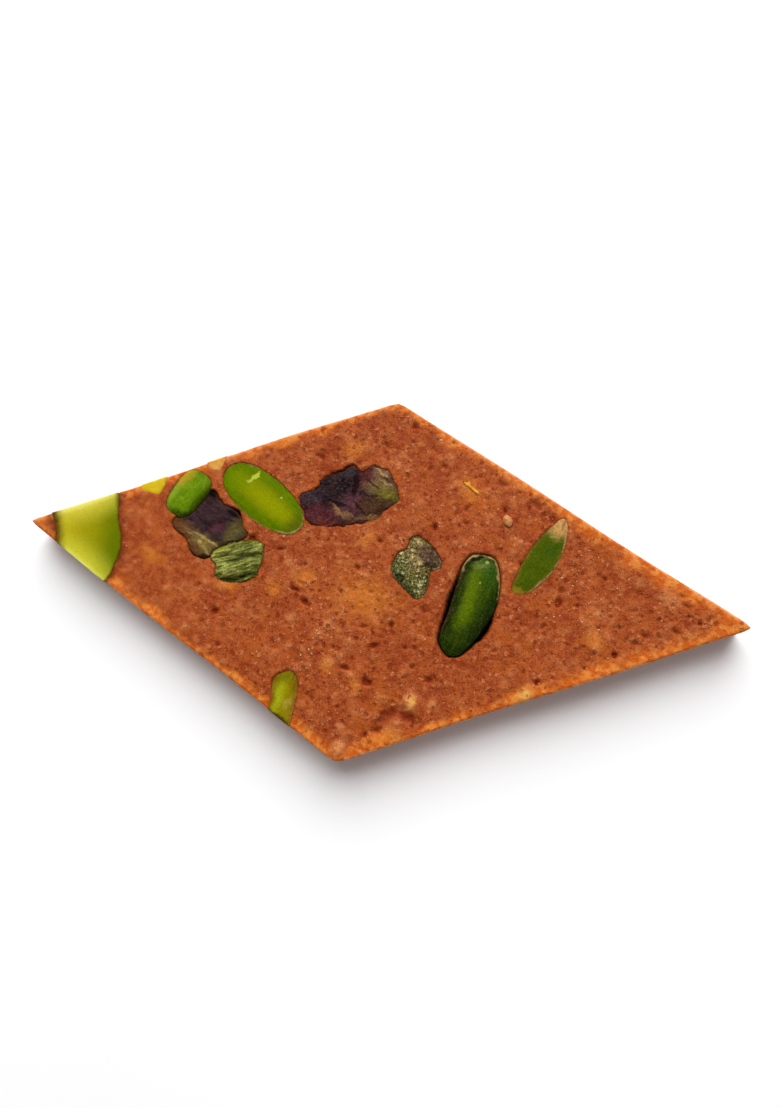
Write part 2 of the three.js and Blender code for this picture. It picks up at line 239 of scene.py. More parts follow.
def first_hits(middle: Place, angles: Array, loop: Array) -> Array:
    """Distance from a point to a closed line, in each of many directions.

    Args:
        middle: the point.
        angles: the directions in radians.
        loop: points of the closed line.

    Returns:
        The distance to the first crossing, or infinity where there is none.
    """
    start = loop - np.array(middle)
    edge = np.roll(start, -1, axis=0) - start
    heading = np.stack([np.cos(angles), np.sin(angles)], axis=1)[:, None, :]
    cross = heading[..., 0] * edge[:, 1] - heading[..., 1] * edge[:, 0]
    cross = np.where(np.abs(cross) < TINY, TINY, cross)
    away = (start[:, 0] * edge[:, 1] - start[:, 1] * edge[:, 0]) / cross
    share = (start[:, 0] * heading[..., 1] - start[:, 1] * heading[..., 0]) / cross
    met = (away > 0) & (share >= 0) & (share <= 1)
    return np.where(met, away, np.inf).min(axis=1)


# ---- finishes ----


@dataclass(frozen=True)
class Tint:
    """A colour, and how strongly it is laid over what is below it."""

    colour: Colour
    strength: float


@dataclass(frozen=True)
class Patch:
    """A soft oval of another colour on a surface, placed in the slab's own millimetres.

    soft is the share of its radii that its border fades over, and ragged how far the border strays.
    """

    colour: Colour
    at: Place
    radii: Place
    turn: float = 0.0
    strength: float = 1.0
    soft: float = 0.35
    ragged: float = 0.5


class Wiring:
    """A new material, with one short call for each kind of node that the finishes use."""

    STIR_SCALE = 1.3
    FINE_STIR_SCALE = 4.0
    STIR_MIDDLE = (0.5, 0.5, 0.5)
    ANY_HEIGHT = 1000.0

    def __init__(self, name: str) -> None:
        """Makes the material and its place in millimetres.

        Args:
            name: the material's name.
        """
        self.material = bpy.data.materials.new(name)
        self.material.use_nodes = True
        self.nodes = self.material.node_tree.nodes
        self.links = self.material.node_tree.links
        self.shader = self.nodes["Principled BSDF"]
        metres = self.node("ShaderNodeTexCoord").outputs["Object"]
        self.place = self.vector("SCALE", {0: metres, "Scale": 1 / MM})
        self.stirring = self.stir(self.STIR_SCALE)
        self.fine_stirring = self.stir(self.FINE_STIR_SCALE)

    def node(self, kind: str, inputs: Inputs | None = None, **settings: object) -> bpy.types.Node:
        """Adds a node.

        Args:
            kind: Blender's name for it.
            inputs: what feeds its sockets, by their names or numbers.
            **settings: its properties.

        Returns:
            The node.
        """
        made = self.nodes.new(kind)
        for key, value in settings.items():
            setattr(made, key, value)
        for socket, value in (inputs or {}).items():
            self.feed(made.inputs[socket], value)
        return made

    def feed(self, socket: Socket, value: object) -> None:
        """Links a socket to another, or sets its constant.

        Args:
            socket: the one to feed.
            value: a socket or a constant.
        """
        if isinstance(value, Socket):
            self.links.new(value, socket)
        else:
            socket.default_value = value

    def vector(self, operation: str, inputs: Inputs) -> Socket:
        """One step of arithmetic on vectors."""
        return self.node("ShaderNodeVectorMath", inputs, operation=operation).outputs[0]

    def stir(self, scale: float) -> Socket:
        """A vector that wanders round zero, with scale lumps in a millimetre."""
        stir = self.node("ShaderNodeTexNoise", {"Vector": self.place, "Scale": scale, "Detail": 3.0})
        return self.vector("SUBTRACT", {0: stir.outputs["Color"], 1: self.STIR_MIDDLE})

    def stirred(self, stirring: Socket, reach: Triple) -> Socket:
        """The place, moved about by a stirring as far as reach."""
        return self.vector("MULTIPLY_ADD", {0: stirring, 1: reach, 2: self.place})

    def attribute(self, name: str) -> Socket:
        """The number that each vertex holds under a name."""
        return self.node("ShaderNodeAttribute", attribute_name=name).outputs["Fac"]

    def noise(
        self, size: float, detail: float = 3.0, stretch: float = 1.0, turn: float = 0.0, warp: float = 0.0
    ) -> Socket:
        """Noise with lumps of a size.

        Args:
            size: about how wide a lump is.
            detail: how many finer layers it has.
            stretch: how much longer the lumps are along the turn.
            turn: the direction that they are long in.
            warp: how much they curl.

        Returns:
            A number round 0.5.
        """
        laid = self.node("ShaderNodeMapping", {
            "Vector": self.place,
            "Rotation": (0.0, 0.0, math.radians(turn)),
            "Scale": (size * stretch, size, size),
        }, vector_type="TEXTURE")
        return self.node("ShaderNodeTexNoise", {
            "Vector": laid.outputs[0], "Scale": 1.0, "Detail": detail, "Distortion": warp,
        }).outputs["Fac"]

    def dots(self, spacing: float, share: float, radius: float, soft: float) -> Socket:
        """Scattered ragged spots of uneven size.

        Args:
            spacing: about how far apart they could lie.
            share: how many of those places hold one.
            radius: of the largest.
            soft: width of their fading border.

        Returns:
            1 in a spot and 0 outside.
        """
        place = self.stirred(self.fine_stirring, (2 * radius, 2 * radius, 2 * radius))
        cells = self.node("ShaderNodeTexVoronoi", {"Vector": place, "Scale": 1 / spacing})
        drawn = self.node("ShaderNodeSeparateColor", {0: cells.outputs["Color"]})
        size = self.math("MULTIPLY", self.grade(drawn.outputs[0], 1 - share, 1.0), radius / spacing)
        return self.grade(self.math("SUBTRACT", size, cells.outputs["Distance"]), 0.0, soft / spacing)

    def grade(self, value: object, low: float, high: float) -> Socket:
        """Rises smoothly from 0 at low to 1 at high."""
        inputs = {"Value": value, "From Min": low, "From Max": high}
        return self.node("ShaderNodeMapRange", inputs, interpolation_type="SMOOTHSTEP").outputs["Result"]

    def math(self, operation: str, *numbers: object) -> Socket:
        """One step of arithmetic on numbers."""
        return self.node("ShaderNodeMath", dict(enumerate(numbers)), operation=operation).outputs[0]

    def blend(self, *parts: tuple[object, float]) -> Socket:
        """Adds up numbers.

        Args:
            *parts: each number and its weight.

        Returns:
            Their weighted sum.
        """
        total = 0.0
        for value, weight in parts:
            total = self.math("MULTIPLY_ADD", value, weight, total)
        return total

    def shade(self, ground: object, value: object, least: float, most: float) -> Socket:
        """Multiplies a colour by a number that goes from least to most as value goes from 0 to 1."""
        ranged = self.node("ShaderNodeMapRange", {"Value": value, "To Min": least, "To Max": most})
        return self.vector("SCALE", {0: ground, "Scale": ranged.outputs["Result"]})

    def mix(self, share: object, first: object, second: object) -> Socket:
        """Mixes two colours.

        Args:
            share: 0 for the first colour and 1 for the second.
            first: a colour, or a socket that gives one.
            second: the same for the other.

        Returns:
            The mixed colour.
        """
        ends = [end if isinstance(end, Socket) else linear(end) for end in (first, second)]
        inputs = {"Factor": share, 6: ends[0], 7: ends[1]}
        return self.node("ShaderNodeMix", inputs, data_type="RGBA").outputs[2]

    def lay(self, ground: object, share: object, strength: float, colour: object) -> Socket:
        """Lays a colour over another where share is 1, at most by strength."""
        return self.mix(self.math("MULTIPLY", share, strength), ground, colour)

    def lay_tint(self, ground: object, share: object, tint: Tint) -> Socket:
        """Lays a tint over a colour where share is 1."""
        return self.lay(ground, share, tint.strength, tint.colour)

    def lay_patch(self, ground: object, patch: Patch) -> Socket:
        """Lays a patch over a colour.

        Args:
            ground: the colour below.
            patch: the patch.

        Returns:
            The colour with the patch on it.
        """
        laid = self.node("ShaderNodeMapping", {
            "Vector": self.stirred(self.stirring, (2 * patch.ragged, 2 * patch.ragged, 0.0)),
            "Location": (*patch.at, 0.0),
            "Rotation": (0.0, 0.0, math.radians(patch.turn)),
            "Scale": (*patch.radii, self.ANY_HEIGHT),
        }, vector_type="TEXTURE")
        away = self.node("ShaderNodeVectorMath", {0: laid.outputs[0]}, operation="LENGTH").outputs["Value"]
        mask = self.grade(away, 1 + patch.soft, 1 - patch.soft)
        return self.lay(ground, mask, patch.strength, patch.colour)

    def dress(self, colour: object, roughness: object, specular: float) -> None:
        """Gives the surface its look.

        Args:
            colour: its colour.
            roughness: how dull it is.
            specular: how strongly it mirrors.
        """
        self.feed(self.shader.inputs["Base Color"], colour)
        self.feed(self.shader.inputs["Roughness"], roughness)
        self.feed(self.shader.inputs["Specular IOR Level"], specular)

    def bump(self, height: object, depth: float) -> None:
        """Raises the surface's shading by a height of 0 to 1 times a depth in millimetres."""
        made = self.node("ShaderNodeBump", {"Height": height, "Distance": depth * MM})
        self.feed(self.shader.inputs["Normal"], made.outputs[0])

    def glow(self, weight: float, radii: Triple) -> None:
        """Lets light travel under the surface.

        Args:
            weight: how much of it does.
            radii: how far in millimetres, for red, green and blue.
        """
        self.feed(self.shader.inputs["Subsurface Weight"], weight)
        self.feed(self.shader.inputs["Subsurface Radius"], radii)
        self.feed(self.shader.inputs["Subsurface Scale"], MM)


@dataclass(frozen=True)
class PasteFinish:
    """Moist ground-nut paste: grainy red brown, with painted shade in its pores, cracks and round its
    kernels, a painted orange glow of light through its cut edges and a painted highlight along their very
    rim.
    """

    name: str = "nut_paste"
    deep: Colour = (134, 53, 22)
    light: Colour = (173, 87, 42)
    warm: Tint = Tint((170, 83, 26), 0.5)
    crumb: Tint = Tint((206, 124, 76), 0.5)
    # The cut edges are painted a brighter orange: a painted glow of light shining through the thin paste.
    edge: Colour = (204, 98, 29)
    edge_glow_light: Colour = (226, 138, 60)
    edge_glow_share: float = 0.85
    # A pale line along the very rim: a painted highlight.
    rim_highlight: Tint = Tint((238, 168, 118), 0.6)
    amber: Tint = Tint((206, 121, 42), 0.75)
    nut: Tint = Tint((216, 140, 84), 0.8)
    gold: Tint = Tint((224, 166, 84), 0.9)
    glint: Tint = Tint((236, 176, 134), 0.55)
    # Pricks, pores, pits and the crack are painted dark red brown: painted shade in the paste's recesses.
    prick: Tint = Tint((116, 32, 6), 0.42)
    small_pore: Tint = Tint((116, 32, 6), 0.6)
    pore: Tint = Tint((116, 32, 6), 0.92)
    # Darker paste round each kernel: painted shade at the join.
    seam_shade: Tint = Tint((100, 44, 14), 0.4)
    # Near black in the crevices round the kernels: a painted shadow.
    crevice_shadow: Colour = (5, 3, 2)
    grain: float = 0.12
    specular: float = 0.04
    relief_depth: float = 0.09
    glow: float = 0.15
    glow_reach: Triple = (0.6, 0.2, 0.08)

    def material(self) -> bpy.types.Material:
        """Makes the material.

        Returns:
            The paste's material, which reads the numbers that the slab's vertices hold.
        """
        wiring = Wiring(self.name)
        broad = wiring.noise(size=3.4, detail=3.0, warp=0.5)
        medium = wiring.noise(size=0.8, detail=3.0)
        fine = wiring.noise(size=0.17, detail=2.0)
        warmth = wiring.noise(size=2.6, warp=1.0)
        calm = wiring.blend((wiring.attribute("even"), -0.7), (wiring.attribute("edge"), -0.4), (1.0, 1.0))
        rough = wiring.math("MAXIMUM", calm, 0.2)
        small_pores = wiring.dots(spacing=0.9, share=0.7, radius=0.3, soft=0.06)
        pricks = wiring.dots(spacing=0.36, share=0.7, radius=0.14, soft=0.04)
        specks = wiring.dots(spacing=0.7, share=0.7, radius=0.32, soft=0.1)
        glints = wiring.dots(spacing=0.8, share=0.5, radius=0.12, soft=0.04)
        ragged = wiring.blend((wiring.attribute("pore"), 1.0), (fine, 0.5), (1.0, -0.25))
        rim = wiring.mix(wiring.grade(medium, 0.42, 0.62), self.edge, self.edge_glow_light)

        tone = wiring.blend((broad, 0.25), (medium, 0.43), (fine, 0.32))
        colour = wiring.mix(wiring.grade(tone, 0.36, 0.64), self.deep, self.light)
        colour = wiring.lay_tint(colour, wiring.grade(warmth, 0.5, 0.7), self.warm)
        colour = wiring.lay_tint(colour, wiring.math("MULTIPLY", specks, rough), self.crumb)
        # Painted orange glow of light through the cut edges.
        colour = wiring.lay(colour, wiring.attribute("edge"), self.edge_glow_share, rim)
        marked = (("rim_highlight", self.rim_highlight), ("amber", self.amber), ("nut", self.nut), ("gold", self.gold))
        for mask, tint in marked:
            colour = wiring.lay_tint(colour, wiring.attribute(mask), tint)
        # Glints are painted highlights; pricks and small pores are painted shade in tiny recesses.
        for spots, tint in ((glints, self.glint), (pricks, self.prick), (small_pores, self.small_pore)):
            colour = wiring.lay_tint(colour, wiring.math("MULTIPLY", spots, rough), tint)
        # Pores and pits: painted shade in their hollows.
        colour = wiring.lay_tint(colour, wiring.grade(ragged, 0.2, 0.74), self.pore)
        colour = wiring.lay_tint(colour, wiring.attribute("seam_shade"), self.seam_shade)
        patter = wiring.math("SUBTRACT", wiring.grade(fine, 0.32, 0.68), 0.5)
        patter = wiring.math("ADD", wiring.math("MULTIPLY", patter, rough), 0.5)
        colour = wiring.shade(colour, patter, 1 - self.grain, 1 + self.grain)
        # Crevices are painted near black: painted shadow.
        colour = wiring.mix(wiring.attribute("crevice_shadow"), colour, self.crevice_shadow)

        wiring.dress(colour, wiring.grade(fine, -0.5, 1.5), self.specular)
        lumps = wiring.noise(size=0.5, detail=2.0)
        relief = wiring.blend((fine, 0.35), (lumps, 1.7), (specks, 0.6), (pricks, -0.5), (small_pores, -1.0))
        wiring.bump(wiring.math("MULTIPLY", relief, rough), self.relief_depth)
        wiring.glow(self.glow, self.glow_reach)
        return wiring.material


@dataclass(frozen=True)
class KernelFinish:
    """A pistachio's surface: its face and rim, mottling, light and shade painted on its relief, fibres,
    specks and strips of skin.

    Patches lie below the fibres and specks, and overlays above them. Each span holds the two values that a
    noise or relief fades between.
    """

    face: Colour
    rim: Colour
    mottle: Colour
    rim_width: float = 0.7
    rim_share: float = 1.0
    mottle_size: float = 1.6
    mottle_share: float = 0.5
    lit_crest: Colour | None = None
    lit_crest_share: float = 0.6
    shaded_valley: Colour | None = None
    shaded_valley_share: float = 0.7
    fibre: Colour | None = None
    fibre_size: float = 0.25
    fibre_stretch: float = 8.0
    fibre_turn: float = 0.0
    fibre_share: float = 0.35
    speck: Colour | None = None
    speck_size: float = 0.3
    speck_share: float = 0.5
    patches: tuple[Patch, ...] = ()
    overlays: tuple[Patch, ...] = ()
    # The kernel's outer edge is painted darker: painted shade where it meets the paste.
    seam_shade: Colour = (80, 36, 10)
    seam_shade_share: float = 0.3
    seam_shade_width: float = 0.1
    pale_skin: Colour = (166, 138, 82)
    dark_skin: Colour = (30, 19, 12)
    skin_grain: float = 0.12
    roughness: float = 0.42
    specular: float = 0.006
    bump_size: float = 0.2
    bump_depth: float = 0.03
    glow: float = 0.2
    grain: float = 0.18
    glow_reach: Triple = (0.5, 0.6, 0.12)

    MOTTLE_SPAN = (0.42, 0.66)
    VALLEY_SPAN = (0.45, 0.1)
    CREST_SPAN = (0.5, 0.9)
    FIBRE_SPAN = (0.45, 0.7)
    SPECK_SPAN = (0.52, 0.64)
    GRAIN_SPAN = (0.32, 0.68)
    SKIN_SPAN = (0.35, 0.65)
    DARK_SKIN_SHARE = 0.95
    PALE_SKIN_SHARE = 0.9
    PALE_SKIN_GRAIN = 0.4

    def material(self, name: str) -> bpy.types.Material:
        """Makes the material.

        Args:
            name: the material's name.

        Returns:
            The kernel's material, which reads the numbers that the kernel's vertices hold.
        """
        wiring = Wiring(name)
        inset = wiring.blend((wiring.noise(size=1.1), 0.7), (wiring.attribute("inset"), 1.0), (1.0, -0.35))
        rim = wiring.grade(inset, self.rim_width * 1.5, self.rim_width * 0.3)
        colour = wiring.lay(self.face, rim, self.rim_share, self.rim)
        mottling = wiring.grade(wiring.noise(size=self.mottle_size, detail=4.0, warp=0.5), *self.MOTTLE_SPAN)
        colour = wiring.lay(colour, mottling, self.mottle_share, self.mottle)
        for patch in self.patches:
            colour = wiring.lay_patch(colour, patch)
        relief = wiring.attribute("relief")
        # Relief valleys are painted darker and crests lighter: painted shade and light that follow the
        # relief.
        if self.shaded_valley:
            low = wiring.grade(relief, *self.VALLEY_SPAN)
            colour = wiring.lay(colour, low, self.shaded_valley_share, self.shaded_valley)
        if self.lit_crest:
            high = wiring.grade(relief, *self.CREST_SPAN)
            colour = wiring.lay(colour, high, self.lit_crest_share, self.lit_crest)
        if self.fibre:
            fibres = wiring.noise(self.fibre_size, 3.0, self.fibre_stretch, self.fibre_turn, 0.3)
            colour = wiring.lay(colour, wiring.grade(fibres, *self.FIBRE_SPAN), self.fibre_share, self.fibre)
        if self.speck:
            specks = wiring.grade(wiring.noise(self.speck_size, 2.0, warp=0.4), *self.SPECK_SPAN)
            colour = wiring.lay(colour, specks, self.speck_share, self.speck)
        for patch in self.overlays:
            colour = wiring.lay_patch(colour, patch)
        fine = wiring.grade(wiring.noise(size=0.22, detail=3.0), *self.GRAIN_SPAN)
        colour = wiring.shade(colour, fine, 1 - self.grain, 1 + self.grain)
        # Painted shade along the kernel's edge where it meets the paste.
        seam_shade = wiring.grade(inset, self.seam_shade_width + 0.1, -0.05)
        colour = wiring.lay(colour, seam_shade, self.seam_shade_share, self.seam_shade)
        grain = wiring.grade(wiring.noise(size=0.3, detail=3.0), *self.SKIN_SPAN)
        dark = wiring.lay(self.dark_skin, grain, self.skin_grain, self.pale_skin)
        colour = wiring.lay(colour, wiring.attribute("dark_skin"), self.DARK_SKIN_SHARE, dark)
        pale = wiring.lay(self.pale_skin, grain, self.PALE_SKIN_GRAIN, self.dark_skin)
        colour = wiring.lay(colour, wiring.attribute("pale_skin"), self.PALE_SKIN_SHARE, pale)
        wiring.dress(colour, self.roughness, self.specular)
        wiring.bump(wiring.noise(size=self.bump_size, detail=3.0), self.bump_depth)
        wiring.glow(self.glow, self.glow_reach)
        return wiring.material


# ---- the diamond's form ----


@dataclass(frozen=True)
class Diamond:
    """The slab's outline and the slow swell of its top."""

    side: float = 50.0
    tip_angle: float = 53.5
    thick: float = 5.0
    rim_round: float = 0.45
    foot_round: float = 0.2
    corner_reach: float = 1.8
    worn: tuple[float, float, float, float] = (0.35, 0.2, 0.45, 0.25)
    sway_reach: float = 0.1
    sway_wave: Place = (4.7, 3.9)
    sway_start: Place = (-1.5, 0.6)
    swell_height: float = 0.1
    swell_wave: Place = (6.1, 4.3)
    swell_start: Place = (0.4, -0.7)

    @property
    def half_tip(self) -> float:
        """Half of the angle at a pointed end, in radians."""
        return math.radians(self.tip_angle / 2)

    @property
    def half_long(self) -> float:
        """Half of the long diagonal."""
        return self.side * math.cos(self.half_tip)

    @property
    def half_short(self) -> float:
        """Half of the short diagonal."""
        return self.side * math.sin(self.half_tip)

    def corners(self) -> list[Place]:
        """The left, far, right and near corners before wear."""
        return [(-self.half_long, 0), (0, self.half_short), (self.half_long, 0), (0, -self.half_short)]

    def place(self, along_far: Array, along_near: Array) -> tuple[Array, Array]:
        """Places points given by their distances from the left tip along the two sides.

        Args:
            along_far: distances along the side that runs to the far corner.
            along_near: distances along the side that runs to the near corner.

        Returns:
            Their places along X and along Y, with worn corners and slightly wandering sides.
        """
        x = -self.half_long + (along_far + along_near) * math.cos(self.half_tip)
        y = (along_far - along_near) * math.sin(self.half_tip)
        for (corner_x, corner_y), worn in zip(self.corners(), self.worn):
            away = np.hypot(x - corner_x, y - corner_y)
            near = np.clip(1 - away / self.corner_reach, 0, 1)
            pull = worn * near**2 / math.hypot(corner_x, corner_y)
            x = x - corner_x * pull
            y = y - corner_y * pull
        sway_x = self.sway_reach * np.sin(y / self.sway_wave[1] + self.sway_start[1])
        sway_y = self.sway_reach * np.sin(x / self.sway_wave[0] + self.sway_start[0])
        return x + sway_x, y + sway_y

    def runs(self, x: Array, y: Array) -> tuple[Array, Array]:
        """Finds the distances that place takes for points, as if the corners weren't worn.

        Args:
            x: places along X.
            y: places along Y.

        Returns:
            Distances from the left tip along the side to the far corner, and along that to the near one.
        """
        total = (x + self.half_long) / math.cos(self.half_tip)
        difference = y / math.sin(self.half_tip)
        return (total + difference) / 2, (total - difference) / 2

    def inset(self, x: Array, y: Array) -> Array:
        """Measures how far places lie inside the nearest straight side.

        Args:
            x: places along X.
            y: places along Y.

        Returns:
            The distances.
        """
        far, near = self.runs(x, y)
        least = np.minimum(np.minimum(far, near), self.side - np.maximum(far, near))
        return least * math.sin(math.radians(self.tip_angle))

    def swell(self, x: Array, y: Array) -> Array:
        """Finds the level of the unpitted top.

        Args:
            x: places along X.
            y: places along Y.

        Returns:
            Its heights.
        """
        wave_x = np.sin(x / self.swell_wave[0] + self.swell_start[0])
        wave_y = np.cos(y / self.swell_wave[1] + self.swell_start[1])
        return self.thick + self.swell_height * wave_x * wave_y

    def border(self, count: int) -> Array:
        """The outline as points, counterclockwise from the left tip.

        Args:
            count: points along each side.

        Returns:
            One row of x and y for each point.
        """
        far, near = round_square(np.linspace(0, self.side, count, endpoint=False), self.side)
        return np.stack(self.place(far, near), axis=1)


# ---- kernels ----


class Face(Enum):
    """How a kernel's visible face is formed, and half the height of its fine relief."""

    SLICED = 0.03
    GROWN = 0.06
    RIDGED = 0.27
    CRUMPLED = 0.22
    CRUMBLY = 0.16


@dataclass(frozen=True)
class Ridges:
    """Parallel waves across a face."""

    turn: float
    pitch: float
    depth: float
    shift: float


@dataclass(frozen=True)
class Crevice:
    """A wider gap between a kernel and the paste on one side of it."""

    toward: float
    width: float
    spread: float = 50.0


@dataclass(frozen=True)
class Skin:
    """A strip of seed skin left along a kernel's rim, between two directions from its middle.

    soft is the width of its fading edge, and broken how much its own width wanders, from 0 to 1.
    """

    start: float
    stop: float
    width: float
    dark: bool = False
    soft: float = 0.08
    broken: float = 0.5


@dataclass(frozen=True)
class Rays:
    """Directions from a kernel's middle, how far its outline reaches in each and where it is cut off."""

    angles: Array
    reach: Array
    limit: Array


@dataclass
class Kernel:
    """One pistachio kernel or piece of one, round its middle at a place.

    One with a length is a grown oval: turn is its long axis, fullness fills out its flanks and blunt its
    ends, and taper narrows its far end. One with corners has an outline that runs smoothly through them, and
    turn is then the run of its grain. ragged is how far the outline strays, and at_edge says that the knife
    cuts it off along the slab's side. rise is its crown above the level of the top, sink how far its rim lies
    below that level and depth how far it reaches down. domed arches the whole face, and ridges lays waves
    across it. loose widens its pocket all round, and crevices widen it on one side. shade and halo are how
    dark and how wide the painted shade on the paste round it is. under names the kernels that lie over it.
    """

    name: str
    slot: str
    at: Place
    finish: KernelFinish
    rise: float
    sink: float
    depth: float
    face: Face = Face.SLICED
    length: float = 0.0
    width: float = 0.0
    turn: float = 0.0
    fullness: float = 0.85
    blunt: float = 1.0
    taper: float = 0.0
    corners: tuple[Place, ...] = ()
    domed: bool = False
    ridges: Ridges | None = None
    under: tuple[str, ...] = ()
    at_edge: bool = False
    ragged: float = 0.0
    loose: float = 0.0
    shade: float = 1.0
    halo: float = 0.22
    crevices: tuple[Crevice, ...] = ()
    skins: tuple[Skin, ...] = ()

    SEGMENTS = 224
    TOP_RINGS = 46
    WALL_ROWS = 5
    BELLY_RINGS = 14
    RIM_WALL = 0.35
    FACE_POWER = 6
    BELLY_POWER = 2.4
    RIM_SOFT = 0.14
    RIM_DROP = 0.4
    RELIEF_FADE = 0.3
    RING_CROWDING = 1.5
    SKIN_THICK = 0.05
    SKIN_WANDER = 0.22
    OVERLAP = 0.1
    OVAL_POINTS = 1440
    CURVE_STEPS = 60
    BORDER_POINTS = 280
    CLEARANCE = 0.05

    def __post_init__(self) -> None:
        """Works out the outline and the kernel's own grain."""
        seed = sum(ord(letter) * (place + 1) for place, letter in enumerate(self.name))
        self.grain = Grain(seed)
        points = self.smooth_corners() if self.corners else self.oval()
        bearing = np.arctan2(points[:, 1], points[:, 0]) % math.tau
        order = np.argsort(bearing)
        self.bearings = bearing[order]
        self.reaches = np.hypot(points[:, 0], points[:, 1])[order]

    def oval(self) -> Array:
        """Draws the outline of a grown kernel.

        Returns:
            Points about its middle.
        """
        angle = all_round(self.OVAL_POINTS)
        along = np.sign(np.cos(angle)) * np.abs(np.cos(angle)) ** self.blunt
        across = np.sign(np.sin(angle)) * np.abs(np.sin(angle)) ** self.fullness
        x = self.length / 2 * along
        y = self.width / 2 * across * (1 - self.taper * along)
        return np.stack(lie(x, y, -self.turn), axis=1)

    def smooth_corners(self) -> Array:
        """Draws the outline of a broken piece, a smooth closed curve through its corners.

        Returns:
            Points about its middle.
        """
        knots = np.array(self.corners) - np.array(self.at)
        before, after = np.roll(knots, 1, axis=0), np.roll(knots, -1, axis=0)
        leaving = (after - before) / 2
        arriving = np.roll(leaving, -1, axis=0)
        share = np.linspace(0, 1, self.CURVE_STEPS, endpoint=False)[:, None, None]
        curve = (
            (2 * share**3 - 3 * share**2 + 1) * knots
            + (share**3 - 2 * share**2 + share) * leaving
            + (3 * share**2 - 2 * share**3) * after
            + (share**3 - share**2) * arriving
        )
        return curve.transpose(1, 0, 2).reshape(-1, 2)

    def reach(self, angles: Array) -> Array:
        """Measures from the middle to the outline.

        Args:
            angles: directions in radians.

        Returns:
            The distance in each.
        """
        base = np.interp(angles % math.tau, self.bearings, self.reaches, period=math.tau)
        if not self.ragged:
            return base
        x, y = base * np.cos(angles), base * np.sin(angles)
        tears = self.grain.fractal(x + 50, y + 50, 0.9) + 0.6 * self.grain.at(x + 9, y + 70, 0.3)
        return base + self.ragged * tears

    def gap(self, angles: Array) -> Array:
        """Measures the gap between kernel and paste.

        Args:
            angles: directions in radians.

        Returns:
            Its width in each, below 0 where the paste creeps under the kernel's rim.
        """
        width = np.full_like(angles, self.loose - self.OVERLAP)
        for crevice in self.crevices:
            turned = (np.degrees(angles) - crevice.toward + 180) % 360 - 180
            width = width + crevice.width * np.exp(-((turned / crevice.spread) ** 2))
        return width

    def outline(self, grow: float, count: int = 360) -> Array:
        """The outline as points in the slab's frame.

        Args:
            grow: how far outside the kernel it runs.
            count: how many points.

        Returns:
            One row of x and y for each point, counterclockwise.
        """
        angles = all_round(count)
        away = self.reach(angles) + grow
        return np.stack([self.at[0] + away * np.cos(angles), self.at[1] + away * np.sin(angles)], axis=1)

    def relief(self, x: Array, y: Array) -> Array:
        """Fine relief of the face.

        Args:
            x: places along X from the kernel's middle.
            y: places along Y from it.

        Returns:
            Heights from about -1 to 1, to be scaled by the face's own depth.
        """
        grain_turn = self.ridges.turn if self.ridges else self.turn
        along, across = lie(x, y, grain_turn)
        broad = self.grain.fractal(x, y, 2.4)
        fine = self.grain.fractal(x + 9, y + 5, 0.6)
        if self.face is Face.SLICED:
            return broad + 0.3 * fine
        if self.face is Face.GROWN:
            return broad + 0.6 * self.grain.fractal(along / 5, across, 0.7) + 0.2 * fine
        if self.face is Face.RIDGED:
            ribs = 1 - 2.2 * np.abs(self.grain.fractal(along / 5, across, 0.9, 4))
            return 0.65 * ribs + 0.65 * self.grain.fractal(along / 6 + 7, across, 0.32) + 0.2 * fine
        if self.face is Face.CRUMPLED:
            curl = 0.9 * self.grain.fractal(x + 21, y + 3, 2.0)
            folds = 1 - 2.4 * np.abs(self.grain.fractal((along + curl) / 1.7, across + curl, 1.7, 4))
            return 0.85 * folds + 0.2 * fine
        return 2 * np.abs(self.grain.fractal(x, y, 0.5, 3)) ** 0.8 - 0.7 + 0.3 * broad

    def top(self, out: Array, x: Array, y: Array, thick: float) -> Array:
        """Height of the face without its fine relief.

        Args:
            out: 0 at the middle and 1 at the rim.
            x: places along X from the kernel's middle.
            y: places along Y from it.
            thick: the level of the slab's top.

        Returns:
            Heights above the slab's underside.
        """
        out = np.clip(out, 0, 1)
        crown = np.sqrt(1 - out**2) if self.domed else 1 - out**self.FACE_POWER
        height = thick - self.sink + (self.rise + self.sink) * crown
        if self.ridges:
            across = lie(x, y, self.ridges.turn)[1]
            wave = 1 + np.sin(math.tau * across / self.ridges.pitch + self.ridges.shift)
            height = height - self.ridges.depth * (1 - out**2) * wave
        return height

    def skin_mask(self, dark: bool, x: Array, y: Array, inset: Array) -> Array:
        """How much of the dark or pale skin lies at each point.

        Args:
            dark: which of the two skins.
            x: places along X from the kernel's middle.
            y: places along Y from it.
            inset: how far inside the outline they lie.

        Returns:
            Numbers from 0 to 1.
        """
        mask = np.zeros_like(x)
        bearing = np.degrees(np.arctan2(y, x))
        wander = self.SKIN_WANDER * self.grain.fractal(x + 40, y + 11, 0.8)
        flakes = self.grain.fractal(x + 3, y + 90, 0.7)
        for skin in self.skins:
            if skin.dark is dark:
                width = skin.width * (1 + 1.8 * skin.broken * flakes)
                middle, half = (skin.start + skin.stop) / 2, (skin.stop - skin.start) / 2
                turned = np.abs((bearing - middle + 180) % 360 - 180)
                along = smooth_step(half + 6, half - 3, turned + 20 * wander)
                inside = inset + wander * min(1, skin.width * 2) - width
                across = smooth_step(skin.soft, -skin.soft, inside) * smooth_step(0, 0.08, width)
                mask = np.maximum(mask, along * across)
        return mask

    def bottom(self, out: Array, thick: float) -> Array:
        """Height of the underside."""
        belly = np.sqrt(1 - np.clip(out, 0, 1) ** self.BELLY_POWER)
        return thick - self.sink - self.RIM_WALL - (self.depth - self.sink - self.RIM_WALL) * belly

